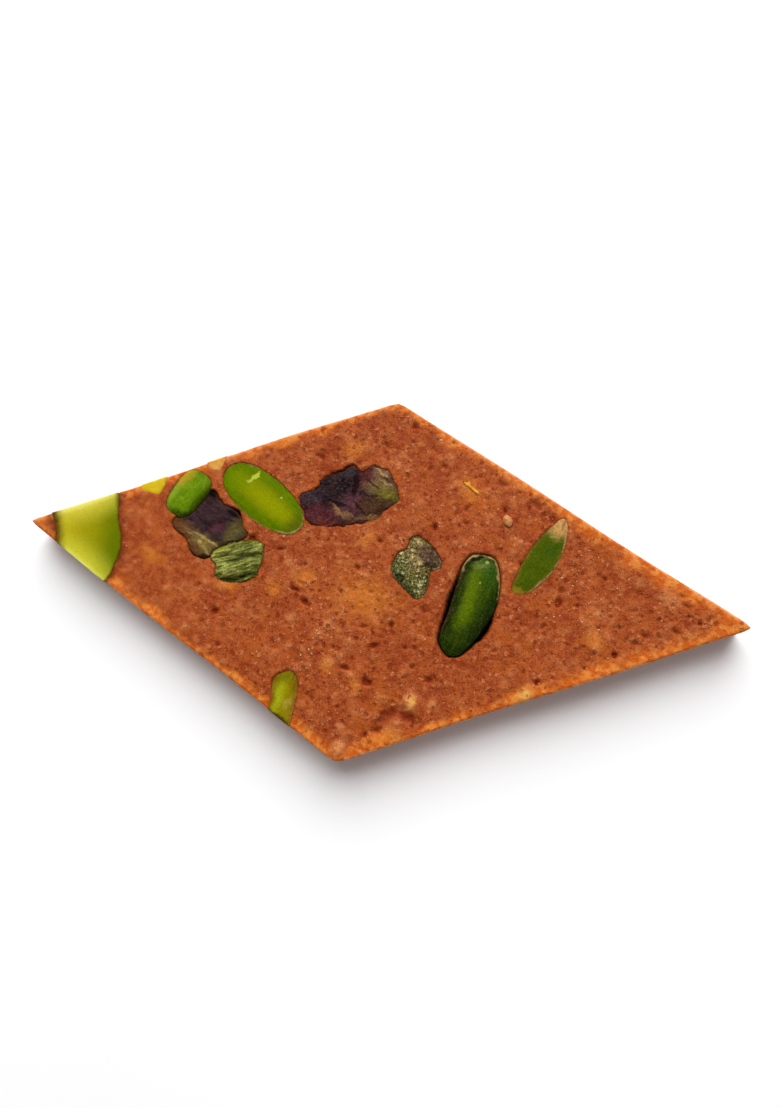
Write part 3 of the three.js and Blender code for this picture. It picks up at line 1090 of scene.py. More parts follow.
    def limits(self, angles: Array, diamond: Diamond, over: list[Kernel]) -> Array:
        """How far the kernel reaches before the knife or a kernel over it cuts it off.

        Args:
            angles: directions in radians.
            diamond: the slab's outline.
            over: kernels that lie over this one.

        Returns:
            Distances from the middle.
        """
        limit = self.reach(angles)
        if self.at_edge:
            limit = np.minimum(limit, first_hits(self.at, angles, diamond.border(self.BORDER_POINTS)))
        for kernel in over:
            limit = np.minimum(limit, first_hits(self.at, angles, kernel.outline(self.CLEARANCE)))
        return limit

    def make_face(self, rays: Rays, thick: float) -> tuple[Array, dict[str, Array]]:
        """Lays out the face as a middle point and rings round it.

        Args:
            rays: the kernel's directions.
            thick: the level of the slab's top.

        Returns:
            The points, and what each holds for the finish, by name.
        """
        steps = np.arange(1, self.TOP_RINGS + 1) / self.TOP_RINGS
        away = np.outer(1 - (1 - steps) ** self.RING_CROWDING, rays.limit)
        x, y = away * np.cos(rays.angles), away * np.sin(rays.angles)
        x, y = (np.concatenate([np.zeros(1), line.ravel()]) for line in (x, y))
        out = np.concatenate([np.zeros(1), (away / rays.reach).ravel()])
        inset = distance_to(self.outline(0.0), self.at[0] + x, self.at[1] + y)
        margin = np.concatenate([rays.limit.min(keepdims=True), (rays.limit - away).ravel()])
        relief = self.relief(x, y)
        fade = smooth_step(0, self.RELIEF_FADE, margin)
        dark_skin, pale_skin = (self.skin_mask(dark, x, y, inset) for dark in (True, False))
        short = np.clip(1 - margin / self.RIM_SOFT, 0, 1)
        height = self.top(out, x, y, thick) + self.face.value * relief * fade
        height += self.SKIN_THICK * (dark_skin + pale_skin)
        height -= self.RIM_DROP * self.RIM_SOFT * (1 - np.sqrt(1 - short**2))
        marks = {"inset": inset, "relief": 0.5 + 0.5 * relief * fade, "dark_skin": dark_skin,
                 "pale_skin": pale_skin}
        return np.stack([self.at[0] + x, self.at[1] + y, height], axis=1), marks

    def make_body(self, rim: Array, rays: Rays, thick: float) -> list[Array]:
        """Lays out what lies below the face.

        Args:
            rim: the face's outermost ring.
            rays: the kernel's directions.
            thick: the level of the slab's top.

        Returns:
            The rings of the wall and the belly from the rim down, and the lowest point.
        """
        blocks = []
        rim_bottom = self.bottom(rays.limit / rays.reach, thick)
        for drop in np.arange(1, self.WALL_ROWS + 1) / self.WALL_ROWS:
            level = rim[:, 2] * (1 - drop) + rim_bottom * drop
            blocks.append(np.stack([rim[:, 0], rim[:, 1], level], axis=1))
        for ring in range(self.BELLY_RINGS - 1, 0, -1):
            share = math.sin(math.pi / 2 * ring / self.BELLY_RINGS)
            away = rays.limit * share
            x, y = self.at[0] + away * np.cos(rays.angles), self.at[1] + away * np.sin(rays.angles)
            blocks.append(np.stack([x, y, self.bottom(away / rays.reach, thick)], axis=1))
        blocks.append(np.array([[*self.at, float(self.bottom(np.zeros(1), thick)[0])]]))
        return blocks

    def build(self, diamond: Diamond, over: list[Kernel]) -> Piece:
        """Makes the kernel's mesh: face, rim and belly.

        Args:
            diamond: the slab's outline.
            over: kernels that lie over this one.

        Returns:
            The dressed piece.
        """
        angles = all_round(self.SEGMENTS)
        rays = Rays(angles, self.reach(angles), self.limits(angles, diamond, over))
        face, marks = self.make_face(rays, diamond.thick)
        points = np.concatenate([face, *self.make_body(face[-self.SEGMENTS:], rays, diamond.thick)])
        faces = closed_rings(len(points), self.SEGMENTS)
        piece = make_piece(f"kernel_{self.name}", points, faces, self.finish.material(f"kernel_{self.name}"))
        for name, mark in marks.items():
            below = np.full(len(points) - len(face), 0.5 if name == "relief" else 0.0)
            paint(piece, name, np.concatenate([mark, below]))
        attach(piece, "root")
        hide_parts(f"pistachio_{self.name}")
        return piece


# ---- the paste ----


@dataclass(frozen=True)
class Spot:
    """A pore, crumb or lump in the paste. A negative depth stands up."""

    x: float
    y: float
    radius: float
    depth: float
    stretch: float = 1.0
    turn: float = 0.0


def spots(*rows: tuple[float, ...]) -> tuple[Spot, ...]:
    """Makes spots from rows of their numbers."""
    return tuple(Spot(*row) for row in rows)


PITS = spots(
    (2.0, -12.9, 0.48, 0.47, 1.4, -20), (-7.0, -4.8, 0.48, 0.43, 1.2, -50),
    (-8.5, -3.5, 0.3, 0.33, 2.6, -12), (21.3, -9.9, 0.35, 0.38), (-17.8, -7.6, 0.43, 0.38, 1.3, 60),
    (-8.6, 13.9, 0.48, 0.26, 1.2, 20), (3.8, -5.9, 0.35, 0.28), (2.1, -8.7, 0.32, 0.33, 2.0, 25),
    (-0.8, -11.7, 0.3, 0.33, 2.0, -5), (5.8, -8.4, 0.3, 0.24), (6.9, -8.2, 0.26, 0.24),
    (-2.6, -9.5, 0.35, 0.28), (9.2, -11.6, 0.43, 0.33, 1.5, 40), (6.9, -10.5, 0.35, 0.24),
    (7.4, -3.6, 0.35, 0.24, 1.5, 0), (8.4, -6.4, 0.3, 0.24), (-1.4, 0.2, 0.39, 0.28, 1.2, 30),
    (-7.8, -0.2, 0.3, 0.28), (27.6, 3.3, 0.3, 0.27), (22.7, -0.4, 0.35, 0.38, 1.9, 85),
    (22.9, 1.2, 0.45, 0.2), (24.0, 4.3, 0.3, 0.17), (29.5, -5.4, 0.35, 0.47, 1.2, 100),
    (36.0, -1.6, 0.35, 0.24, 1.8, -15), (32.7, -2.7, 0.38, 0.24, 1.3, 10), (34.3, -2.6, 0.26, 0.16),
    (31.7, -3.7, 0.34, 0.19, 2.2, 5), (38.7, -0.4, 0.33, 0.2, 1.3, 0), (39.7, 0.3, 0.35, 0.18, 1.2, 30),
    (37.0, 1.45, 0.3, 0.18, 2.4, -25), (31.57, 2.02, 0.3, 0.16, 1.6, -10), (18.9, 11.1, 0.6, 0.2, 1.3, -30),
    (-15.2, 2.0, 0.43, 0.47, 1.4, 0), (20.9, 9.7, 0.56, 0.24, 1.3, -20), (22.8, 0.6, 0.3, 0.18, 1.8, 80),
    (7.1, 6.6, 0.35, 0.33, 1.3, 80), (-8.3, 13.4, 0.39, 0.22), (2.82, 12.56, 0.34, 0.17),
    (4.79, 12.83, 0.3, 0.16), (5.7, 14.13, 0.32, 0.15), (7.22, 14.34, 0.28, 0.14),
    (7.61, 13.22, 0.28, 0.15), (5.81, 16.27, 0.3, 0.14), (2.83, 19.47, 0.5, 0.24, 1.5, -40),
    (-0.53, 16.38, 0.45, 0.22), (14.6, 13.26, 0.36, 0.18, 2.4, -5), (13.17, 14.21, 0.28, 0.15),
    (7.06, 6.64, 0.36, 0.24), (15.05, 9.89, 0.34, 0.3, 1.3, 80), (10.64, 7.67, 0.28, 0.2, 1.6, -10),
    (11.0, 13.6, 0.24, 0.2), (0.58, -6.6, 0.24, 0.2, 3.0, 15), (4.0, -6.6, 0.26, 0.2, 3.2, -75),
    (-11.36, 1.26, 0.34, 0.28, 2.0, 10), (21.53, 1.63, 0.32, 0.18, 1.3, 90), (24.38, 0.91, 0.24, 0.22),
    (24.9, -0.44, 0.26, 0.26, 1.4, -30), (27.25, -5.59, 0.28, 0.24), (26.37, -7.47, 0.22, 0.26),
    (29.97, -2.19, 0.3, 0.2, 1.5, 10), (27.5, -2.67, 0.24, 0.2), (35.54, -0.47, 0.3, 0.13, 1.4, 20),
    (37.27, 0.17, 0.26, 0.13, 1.6, 0), (2.83, -18.9, 0.3, 0.3, 1.2, 60),
)
LUMPS = spots(
    (7.3, -14.5, 0.8, -0.24, 1.35, 70), (-8.23, -6.91, 0.6, -0.12), (-3.62, -7.02, 0.55, -0.12, 1.2, 0),
    (-9.82, -0.36, 0.5, -0.1, 1.3, -40), (-3.6, 0.58, 0.4, -0.08), (-0.28, -0.4, 0.55, -0.12),
    (-0.71, -8.68, 0.4, -0.07), (-0.02, -12.48, 0.4, -0.08, 1.6, -20), (-2.8, -11.4, 0.6, -0.06, 1.3, 10),
    (-4.4, -8.2, 0.4, -0.06, 1.4, 40), (-0.21, -18.52, 0.5, -0.14), (0.12, -20.9, 0.8, -0.28, 1.1, 60),
    (6.3, -17.0, 0.4, -0.12), (9.81, -14.22, 0.4, -0.1, 1.5, 80), (35.03, 1.88, 0.9, -0.08, 1.3, -20),
    (27.16, -0.87, 0.8, -0.06, 1.4, 0), (1.47, 13.92, 0.5, -0.08, 1.4, 0), (-43.7, 0.2, 1.1, -0.08, 1.2, 0),
    (-20.6, 11.9, 0.8, -0.06, 1.2, 27),
)
GOLDS = spots(
    (7.55, -14.3, 0.4, -0.05, 1.3, 70), (20.1, -11.5, 0.55, -0.1, 2.0, 27),
)
AMBERS = spots(
    (0.1, -3.2, 2.2, 0, 1.5, 5), (2.4, -2.9, 0.9, 0), (-7.5, -1.85, 0.9, 0, 1.3, 0),
    (-11.05, -3.87, 0.8, 0), (-1.0, 3.9, 0.8, 0), (0.88, -13.5, 0.6, 0, 1.3, -50),
    (5.1, -18.5, 0.9, -0.08, 1.7, 20), (10.7, 11.9, 1.0, 0, 1.5, -50), (-16.8, -4.3, 0.5, 0, 2.6, 8),
    (20.1, -11.5, 0.8, 0, 1.6, 27), (-2.9, -11.8, 0.8, 0), (-4.5, 15.2, 1.1, 0, 1.3, 60),
    (-4.6, 15.3, 0.6, -0.04), (-14.1, 14.9, 0.9, 0, 1.4, 27), (-24.0, 9.6, 0.7, 0, 1.3, 27),
    (-27.5, -2.0, 0.9, 0, 1.8, -20), (27.2, -4.2, 1.1, 0), (-33.8, -3.4, 1.2, 0),
)
# A spot of painted shade on the paste beside the tip kernel.
SHADE_SPOTS = spots(
    (-41.9, 0.9, 0.55, 0, 2.6, 112),
)


@dataclass(frozen=True)
class Marking:
    """How a kind of spot is pressed into the top, and marked in a mask for the finish.

    power is how steep its sides are: 2 is a soft dish, and more is steeper. The mark goes from least up to
    most, by gain for each millimetre of depth.
    """

    mask: str
    power: float
    least: float
    gain: float = 0.0
    most: float = 1.0

    def strength(self, spot: Spot) -> float:
        """How strongly a spot is marked."""
        return min(self.most, self.least + self.gain * abs(spot.depth))


@dataclass
class PasteSlab:
    """The slab itself: a pitted top with a pocket round each kernel, cut sides and a flat underside."""

    diamond: Diamond
    kernels: list[Kernel]
    finish: PasteFinish
    cells: int = 280
    rim_lines: tuple[float, ...] = (0.0, 0.02, 0.06, 0.12, 0.2, 0.31, 0.45)
    side_rows: tuple[float, ...] = (0.9, 0.78, 0.64, 0.5, 0.36, 0.22, 0.1)
    foot_shrinks: tuple[float, ...] = (0.991, 0.97, 0.9, 0.7, 0.35)
    pore_count: int = 460
    pore_radius: Place = (0.13, 0.17)
    crumb_count: int = 700
    crumb_radius: Place = (0.2, 0.4)
    crumb_rise: Place = (0.03, 0.1)
    crack: tuple[Place, ...] = (
        (4.1, -18.0), (4.3, -17.1), (4.9, -16.2), (5.5, -15.8), (6.3, -15.8), (7.5, -16.2), (8.2, -16.6),
    )
    crack_width: float = 0.6
    crack_depth: float = 0.42
    roughness: float = 0.04
    side_rough: float = 0.07

    MASKS = ("pore", "nut", "gold", "amber", "edge", "rim_highlight", "seam_shade", "crevice_shadow", "even")
    # Pores, pits and the crack fill the pore mask, which the finish paints as shade.
    PORE = Marking("pore", 3.4, 0.22, 1.9)
    PIT = Marking("pore", 3.4, 0.24, 1.7)
    CRUMB = Marking("nut", 2.4, 0.12, 2.4)
    LUMP = Marking("nut", 2.6, 0.35, 3.0, 0.95)
    GOLD = Marking("gold", 2.6, 1.0)
    AMBER = Marking("amber", 2.0, 0.9)
    SHADE_SPOT = Marking("seam_shade", 2.0, 1.5, most=1.5)
    GRAIN_SEED = 41
    PORE_SEED = 5
    CRUMB_SEED = 23
    SPOT_REACH = 1.9
    SPOT_WANDER = 0.7
    SLANT = 1.4
    SPARE = 0.3
    POCKET_REACH = 3.0
    FAR = 9.0
    WALL_TOP = 0.1
    WALL_FOOT = 0.14
    LIP_HEIGHT = 0.025
    LIP_AT = 0.45
    LIP_WIDTH = 0.35
    GLOW_WIDTH = 1.5
    GLOW_WIDER = 0.9
    GLOW_WANDER = 0.7
    CUT_LINE_SPAN = (0.85, 0.35)
    EVEN_SPAN = (-12, -30)
    RIM_HIGHLIGHT_WIDTH = 0.22
    RIM_HIGHLIGHT_WIDER = 0.3
    EDGE_GLOW_BELOW = 0.35

    def __post_init__(self) -> None:
        """Lays out the top's grid."""
        inner = np.linspace(self.diamond.rim_round, self.diamond.side - self.diamond.rim_round,
                            self.cells - 2 * (len(self.rim_lines) - 1) + 1)
        rim = np.array(self.rim_lines)
        self.lines = np.concatenate([rim[:-1], inner, (self.diamond.side - rim[:-1])[::-1]])
        self.far, self.near = np.meshgrid(self.lines, self.lines, indexing="ij")
        self.x, self.y = self.diamond.place(self.far, self.near)
        self.grain = Grain(self.GRAIN_SEED)
        self.masks = {name: np.zeros_like(self.x) for name in self.MASKS}

    def window(self, spot: Spot, reach: float) -> tuple[slice, slice]:
        """The part of the grid that a spot can touch.

        Args:
            spot: the spot.
            reach: how far its effect goes.

        Returns:
            Slices of the grid along its two sides.
        """
        spans = []
        for along in self.diamond.runs(spot.x, spot.y):
            spare = self.SLANT * reach + self.SPARE
            low, high = np.searchsorted(self.lines, [along - spare, along + spare])
            spans.append(slice(low, high))
        return spans[0], spans[1]

    def press(self, height: Array, spot: Spot, marking: Marking) -> None:
        """Presses one spot into the top and marks it in a mask.

        Args:
            height: the top's heights, changed in place.
            spot: the spot.
            marking: how it is pressed in and marked.
        """
        where = self.window(spot, spot.radius * spot.stretch * self.SPOT_REACH)
        along, across = lie(self.x[where] - spot.x, self.y[where] - spot.y, spot.turn)
        along = along + self.SPOT_WANDER * spot.radius * self.wander[where]
        across = across + self.SPOT_WANDER * spot.radius * self.wobble[where]
        away = np.hypot(along / (spot.radius * spot.stretch), across / spot.radius)
        form = np.exp(-(away**marking.power))
        height[where] -= spot.depth * form
        mask = self.masks[marking.mask]
        mask[where] = np.maximum(mask[where], marking.strength(spot) * form)

    def pores(self) -> list[Spot]:
        """Draws the small pores, which are more crowded in some places.

        Returns:
            The pores.
        """
        draw = np.random.default_rng(self.PORE_SEED)
        found = []
        for _ in range(self.pore_count):
            x, y = self.diamond.place(*(draw.uniform(0.4, self.diamond.side - 0.4, 2)))
            radius = self.pore_radius[0] + self.pore_radius[1] * draw.random() ** 2
            stretch, turn = 1 + 1.2 * draw.random() ** 2, draw.uniform(0, 180)
            crowd = self.grain.at(np.array([x]), np.array([y]), 6.0)[0]
            if draw.random() < 0.65 + 0.5 * crowd + min(x, 5) / 100 and self.diamond.inset(x, y) > 0.5:
                depth = radius * draw.uniform(0.35, 0.8)
                found.append(Spot(float(x), float(y), radius, depth, stretch, turn))
        return found

    def crumbs(self) -> list[Spot]:
        """Draws the paler crumbs of nut that stand up a little.

        Returns:
            The crumbs.
        """
        draw = np.random.default_rng(self.CRUMB_SEED)
        found = []
        for _ in range(self.crumb_count):
            x, y = self.diamond.place(*(draw.uniform(0.6, self.diamond.side - 0.6, 2)))
            radius = self.crumb_radius[0] + self.crumb_radius[1] * draw.random() ** 1.8
            rise, stretch = draw.uniform(*self.crumb_rise), 1 + 0.6 * draw.random()
            found.append(Spot(float(x), float(y), radius, -rise, stretch, draw.uniform(0, 180)))
        return found

    def open_crack(self) -> Array:
        """Marks the curved crack.

        Returns:
            Its depth at each point of the top.
        """
        away = distance_to(np.array(self.crack), self.x.ravel(), self.y.ravel(), closed=False)
        away = np.maximum(away.reshape(self.x.shape) + 0.3 * self.wander, 0)
        form = np.exp(-((away / self.crack_width) ** 2))
        # The crack is painted darker: painted shade inside it.
        self.deepen("pore", 0.62 * form * (1 + 0.8 * self.wobble))
        return self.crack_depth * form

    def deepen(self, mask: str, marked: Array) -> None:
        """Marks a mask more strongly where the marks given are stronger."""
        self.masks[mask] = np.maximum(self.masks[mask], marked)

    def sink_pocket(self, height: Array, kernel: Kernel) -> Array:
        """Lowers the top into a close pocket round a kernel, paints shade on the paste beside it and a
        painted shadow in its crevices.

        Args:
            height: the top's heights.
            kernel: the kernel.

        Returns:
            The heights with the pocket.
        """
        x, y = self.x - kernel.at[0], self.y - kernel.at[1]
        bearing, away = np.arctan2(y, x), np.hypot(x, y)
        reach, gap = kernel.reach(bearing), kernel.gap(bearing)
        close = away < reach + self.POCKET_REACH
        margin = np.full_like(away, self.FAR)
        margin[close] = distance_to(kernel.outline(0.0), self.x[close], self.y[close])
        margin = np.where(away < reach, -margin, margin) + (0.05 + 0.6 * kernel.loose) * self.wander
        floor = kernel.bottom(away / reach, self.diamond.thick) - kernel.OVERLAP
        wall = smooth_step(gap + self.WALL_TOP, gap - self.WALL_FOOT, margin)
        height = np.where(close, height * (1 - wall) + np.minimum(height, floor) * wall, height)
        lip = np.exp(-(((margin - gap - self.LIP_AT) / self.LIP_WIDTH) ** 2)) * (margin > gap)
        # The paste beside the kernel is painted darker: painted shade at the join.
        painted_shade = np.exp(-((np.clip(margin - gap, 0, self.FAR) / kernel.halo) ** 2)) * (0.5 + 0.9 * self.wander)
        self.deepen("seam_shade", np.clip(kernel.shade * painted_shade, 0, 2) * close)
        # Where the gap widens into a crevice it is painted near black: painted shadow.
        crevice = smooth_step(gap + 0.12, gap - 0.1, margin) * np.clip(4 * gap, 0, 1)
        self.deepen("crevice_shadow", crevice * close)
        return height + self.LIP_HEIGHT * lip

    def mark_rim(self) -> None:
        """Marks the painted orange glow of light through the cut sides, the painted highlight along their
        very rim and the calmer left end.
        """
        inset = self.diamond.inset(self.x, self.y)
        width = self.GLOW_WIDTH + self.GLOW_WIDER * smooth_step(8, 38, self.x)
        stirred = inset + self.GLOW_WANDER * self.grain.at(self.x, self.y, 1.7)
        cut_line = smooth_step(*self.CUT_LINE_SPAN, inset + 0.12 * self.wander) * smooth_step(10, 0, self.x)
        self.masks["edge"] = np.maximum(smooth_step(width, 0.2 * width, stirred), cut_line)
        self.masks["even"] = smooth_step(*self.EVEN_SPAN, self.x)
        # The pale line along the very rim is a painted highlight.
        rim_highlight_width = self.RIM_HIGHLIGHT_WIDTH + self.RIM_HIGHLIGHT_WIDER * smooth_step(-1, 4, self.y)
        rim_highlight = smooth_step(rim_highlight_width, 0.04, inset + 0.1 * self.wander)
        self.masks["rim_highlight"] = rim_highlight * smooth_step(-0.5, 0.3, self.wobble)

    def top_height(self) -> Array:
        """Forms the top with all its relief, and marks it.

        Returns:
            The height of each of its points.
        """
        height = self.diamond.swell(self.x, self.y)
        height = height + self.roughness * self.grain.fractal(self.x, self.y, 1.9, 4)
        self.wander = self.grain.fractal(self.x + 31, self.y + 13, 0.7)
        self.wobble = self.grain.fractal(self.x + 5, self.y + 47, 0.7)
        height = height - self.open_crack()
        for group, marking in (
            (self.crumbs(), self.CRUMB), (LUMPS, self.LUMP), (GOLDS, self.GOLD),
            (AMBERS, self.AMBER), (SHADE_SPOTS, self.SHADE_SPOT), (self.pores(), self.PORE),
            (PITS, self.PIT),
        ):
            for spot in group:
                self.press(height, spot, marking)
        for kernel in self.kernels:
            height = self.sink_pocket(height, kernel)
        self.mark_rim()
        from_far, from_near = (np.minimum(run, self.diamond.side - run) for run in (self.far, self.near))
        short = np.clip(1 - np.minimum(from_far, from_near) / self.diamond.rim_round, 0, 1)
        return height - self.diamond.rim_round * (1 - np.sqrt(1 - short**2))

    def level_at(self, x: float, y: float) -> float:
        """Height of the finished top at a place."""
        far, near = np.searchsorted(self.lines, self.diamond.runs(x, y))
        return float(self.height[far, near])

    def border_cells(self) -> Array:
        """Goes once round the grid's border.

        Returns:
            Its vertex numbers, counterclockwise from above.
        """
        last = len(self.lines) - 1
        far, near = round_square(np.arange(last), last)
        return far * (last + 1) + near

    def side_normals(self) -> Array:
        """Finds which way the cut sides face.

        Returns:
            The outward direction at each border vertex.
        """
        sine, cosine = math.sin(self.diamond.half_tip), math.cos(self.diamond.half_tip)
        last = len(self.lines) - 1
        ways = [(-sine, -cosine), (sine, -cosine), (sine, cosine), (-sine, cosine)]
        return np.repeat(np.array(ways), last, axis=0)

    def skirt(self, rim: Array) -> list[Array]:
        """Lays out the cut sides and the flat underside.

        Args:
            rim: the border of the top.

        Returns:
            Closed loops of points, down the sides and then in across the underside.
        """
        outward = self.side_normals()
        run = np.cumsum(np.hypot(*np.diff(rim[:, :2], axis=0, prepend=rim[:1, :2]).T))
        loops = []
        for share in self.side_rows:
            level = rim[:, 2] * share
            waves = self.grain.fractal(run + 3, level * 1.5, 1.1, 4)
            rough = self.side_rough * waves * math.sin(math.pi * share)
            x, y = rim[:, 0] + outward[:, 0] * rough, rim[:, 1] + outward[:, 1] * rough
            loops.append(np.stack([x, y, level], axis=1))
        level = np.full(len(rim), self.diamond.foot_round)
        loops.append(np.stack([rim[:, 0], rim[:, 1], level], axis=1))
        for shrink in self.foot_shrinks:
            loops.append(np.stack([rim[:, 0] * shrink, rim[:, 1] * shrink, 0 * level], axis=1))
        return loops

    def build(self) -> Piece:
        """Makes the slab's mesh and dresses it.

        Returns:
            The slab as one closed piece.
        """
        self.height = self.top_height()
        count = len(self.lines)
        numbers = np.arange(count * count).reshape(count, count)
        quads = np.stack([numbers[:-1, :-1], numbers[:-1, 1:], numbers[1:, 1:], numbers[1:, :-1]], axis=-1)
        faces = quads.reshape(-1, 4).tolist()
        top = np.stack([self.x, self.y, self.height], axis=-1).reshape(-1, 3)
        border = self.border_cells()
        skirt = self.skirt(top[border])
        rings = count * count + np.arange(len(skirt) * len(border)).reshape(len(skirt), -1)
        for upper, lower in zip([border, *rings[:-1]], rings):
            faces += rows_of_quads(upper, lower)
        faces += fan(rings[-1][-1] + 1, rings[-1], faces_down=True)

        points = np.concatenate([top, *skirt, np.zeros((1, 3))])
        piece = make_piece("paste", points, faces, self.finish.material())
        for name, mask in self.masks.items():
            # The cut sides carry part of the painted edge glow.
            below = np.full(len(points) - len(top), self.EDGE_GLOW_BELOW if name == "edge" else 0.0)
            paint(piece, name, np.concatenate([mask.ravel(), below]))
        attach(piece, "root")
        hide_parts("paste_slab")
        return piece


# ---- the kernels of this sweet ----

YELLOW_CUT = KernelFinish(
    face=(170, 156, 16), rim=(128, 118, 10), mottle=(186, 170, 26), rim_width=0.5, rim_share=0.5,
    mottle_size=4.0, mottle_share=0.35, roughness=0.36, glow=0.35, seam_shade=(78, 54, 8), seam_shade_share=0.75,
    seam_shade_width=0.22, grain=0.06, dark_skin=(86, 58, 16), pale_skin=(150, 112, 40),
    patches=(
        Patch((126, 130, 6), (-33.2, -0.6), (3.6, 9.5), 9, 0.85, 0.95, 0.3),
        Patch((92, 108, 2), (-31.9, -0.9), (1.9, 8.0), 7, 0.9, 0.9, 0.3),
        # The pale bands along the slab's two cut sides are painted highlights.
        Patch((226, 214, 74), (-37.6, 4.2), (5.5, 2.2), 26.75, 0.75, 0.98, 0.2),
        Patch((214, 210, 62), (-36.8, -4.8), (5.5, 2.2), -26.75, 0.8, 0.98, 0.2),
        Patch((238, 228, 130), (-38.2, 3.2), (5.0, 0.5), 26.75, 0.7, 0.95, 0.1),
        Patch((226, 224, 112), (-37.2, -4.0), (5.0, 0.5), -26.75, 0.7, 0.95, 0.1),
        Patch((100, 78, 12), (-41.0, 0.2), (0.9, 3.4), 22, 0.75, 0.9, 0.3),
    ),
    overlays=(
        # The dark brown patch where its right side meets the paste is painted shade.
        Patch((72, 50, 8), (-33.3, 4.6), (0.45, 1.9), 20, 0.75, 0.9, 0.3),
        Patch((44, 32, 12), (-41.6, 2.2), (0.4, 0.8), 22, 0.8, 0.8, 0.4),
    ),
)
GOLD_CHIP = KernelFinish(
    face=(204, 172, 28), rim=(190, 152, 22), mottle=(216, 194, 48), rim_width=0.4, roughness=0.4, glow=0.35,
    grain=0.06, seam_shade_share=0.1,
    # The pale band along the cut side is a painted highlight.
    patches=(Patch((240, 224, 104), (-29.7, 8.2), (1.5, 0.6), 26.75, 0.6, 0.9, 0.2),),
)
PALE_CHIP = KernelFinish(
    face=(206, 146, 62), rim=(196, 124, 52), mottle=(226, 180, 98), rim_width=0.5, roughness=0.4, glow=0.35,
    grain=0.08, seam_shade_share=0.1,
)
LIME_CHIP = KernelFinish(
    face=(144, 136, 6), rim=(118, 88, 10), mottle=(126, 116, 4), rim_width=1.0, mottle_size=1.2,
    roughness=0.4, glow=0.3, fibre=(168, 154, 30), fibre_turn=75, fibre_share=0.25, grain=0.1,
    seam_shade=(110, 56, 18), seam_shade_width=0.2, pale_skin=(160, 112, 34),
    patches=(
        Patch((132, 114, 8), (-7.4, -18.4), (1.6, 1.2), -26.75, 0.7, 0.6, 0.3),
        Patch((160, 166, 24), (-7.9, -16.4), (1.8, 0.45), 82, 0.8, 0.8, 0.5),
        Patch((172, 150, 58), (-6.7, -16.9), (0.8, 0.3), 80, 0.6, 0.8, 0.8),
        Patch((108, 104, 10), (-7.5, -14.0), (1.0, 0.7), 0, 0.7, 0.8, 0.4),
    ),
    overlays=(Patch((44, 34, 8), (-7.4, -18.75), (1.5, 0.35), -26.75, 0.9, 0.6, 0.3),),
)
HALF_CUT = KernelFinish(
    face=(112, 122, 1), rim=(80, 108, 0), mottle=(102, 118, 0), rim_width=1.5, mottle_size=1.4,
    mottle_share=0.45, roughness=0.34, fibre=(132, 138, 2), fibre_turn=-31, fibre_share=0.3,
    seam_shade=(74, 50, 8), grain=0.1,
    patches=(
        Patch((142, 146, 2), (-13.8, 6.7), (4.4, 1.0), -31, 0.8, 0.9, 0.4),
        Patch((104, 128, 1), (-18.6, 9.0), (1.4, 1.2), 0, 0.7, 0.8, 0.4),
        Patch((72, 78, 14), (-9.9, 4.6), (1.0, 2.0), -31, 0.7, 0.8, 0.4),
    ),
    overlays=(
        Patch((182, 190, 62), (-16.4, 9.9), (0.85, 0.24), 58, 0.95, 0.4, 0.6),
        Patch((176, 186, 64), (-17.0, 9.2), (0.5, 0.22), 20, 0.8, 0.5, 0.6),
        # The tiny pale spot is a painted highlight.
        Patch((196, 196, 96), (-12.5, 7.6), (0.14, 0.12), 0, 0.8, 0.5, 0.1),
    ),
)
BRIGHT_GREEN = KernelFinish(
    face=(92, 124, 6), rim=(64, 92, 3), mottle=(116, 144, 22), rim_width=0.5, mottle_size=1.2,
    roughness=0.36, fibre=(138, 160, 46), fibre_turn=65, fibre_size=0.22, fibre_stretch=5.0,
    fibre_share=0.2, grain=0.12,
    patches=(
        # The dark patches on its right side and lower end are painted shade, and the pale stripe on its left
        # is painted light.
        Patch((44, 62, 2), (-22.8, 5.4), (3.6, 0.7), 65, 0.75, 0.7, 0.3),
        Patch((36, 52, 8), (-24.6, 3.6), (1.4, 0.4), -20, 0.7, 0.7, 0.3),
        Patch((140, 166, 46), (-26.2, 6.6), (2.2, 0.5), 65, 0.6, 0.9, 0.4),
        Patch((172, 136, 34), (-25.5, 8.9), (1.7, 1.0), 60, 0.9, 0.7, 0.8),
    ),
)
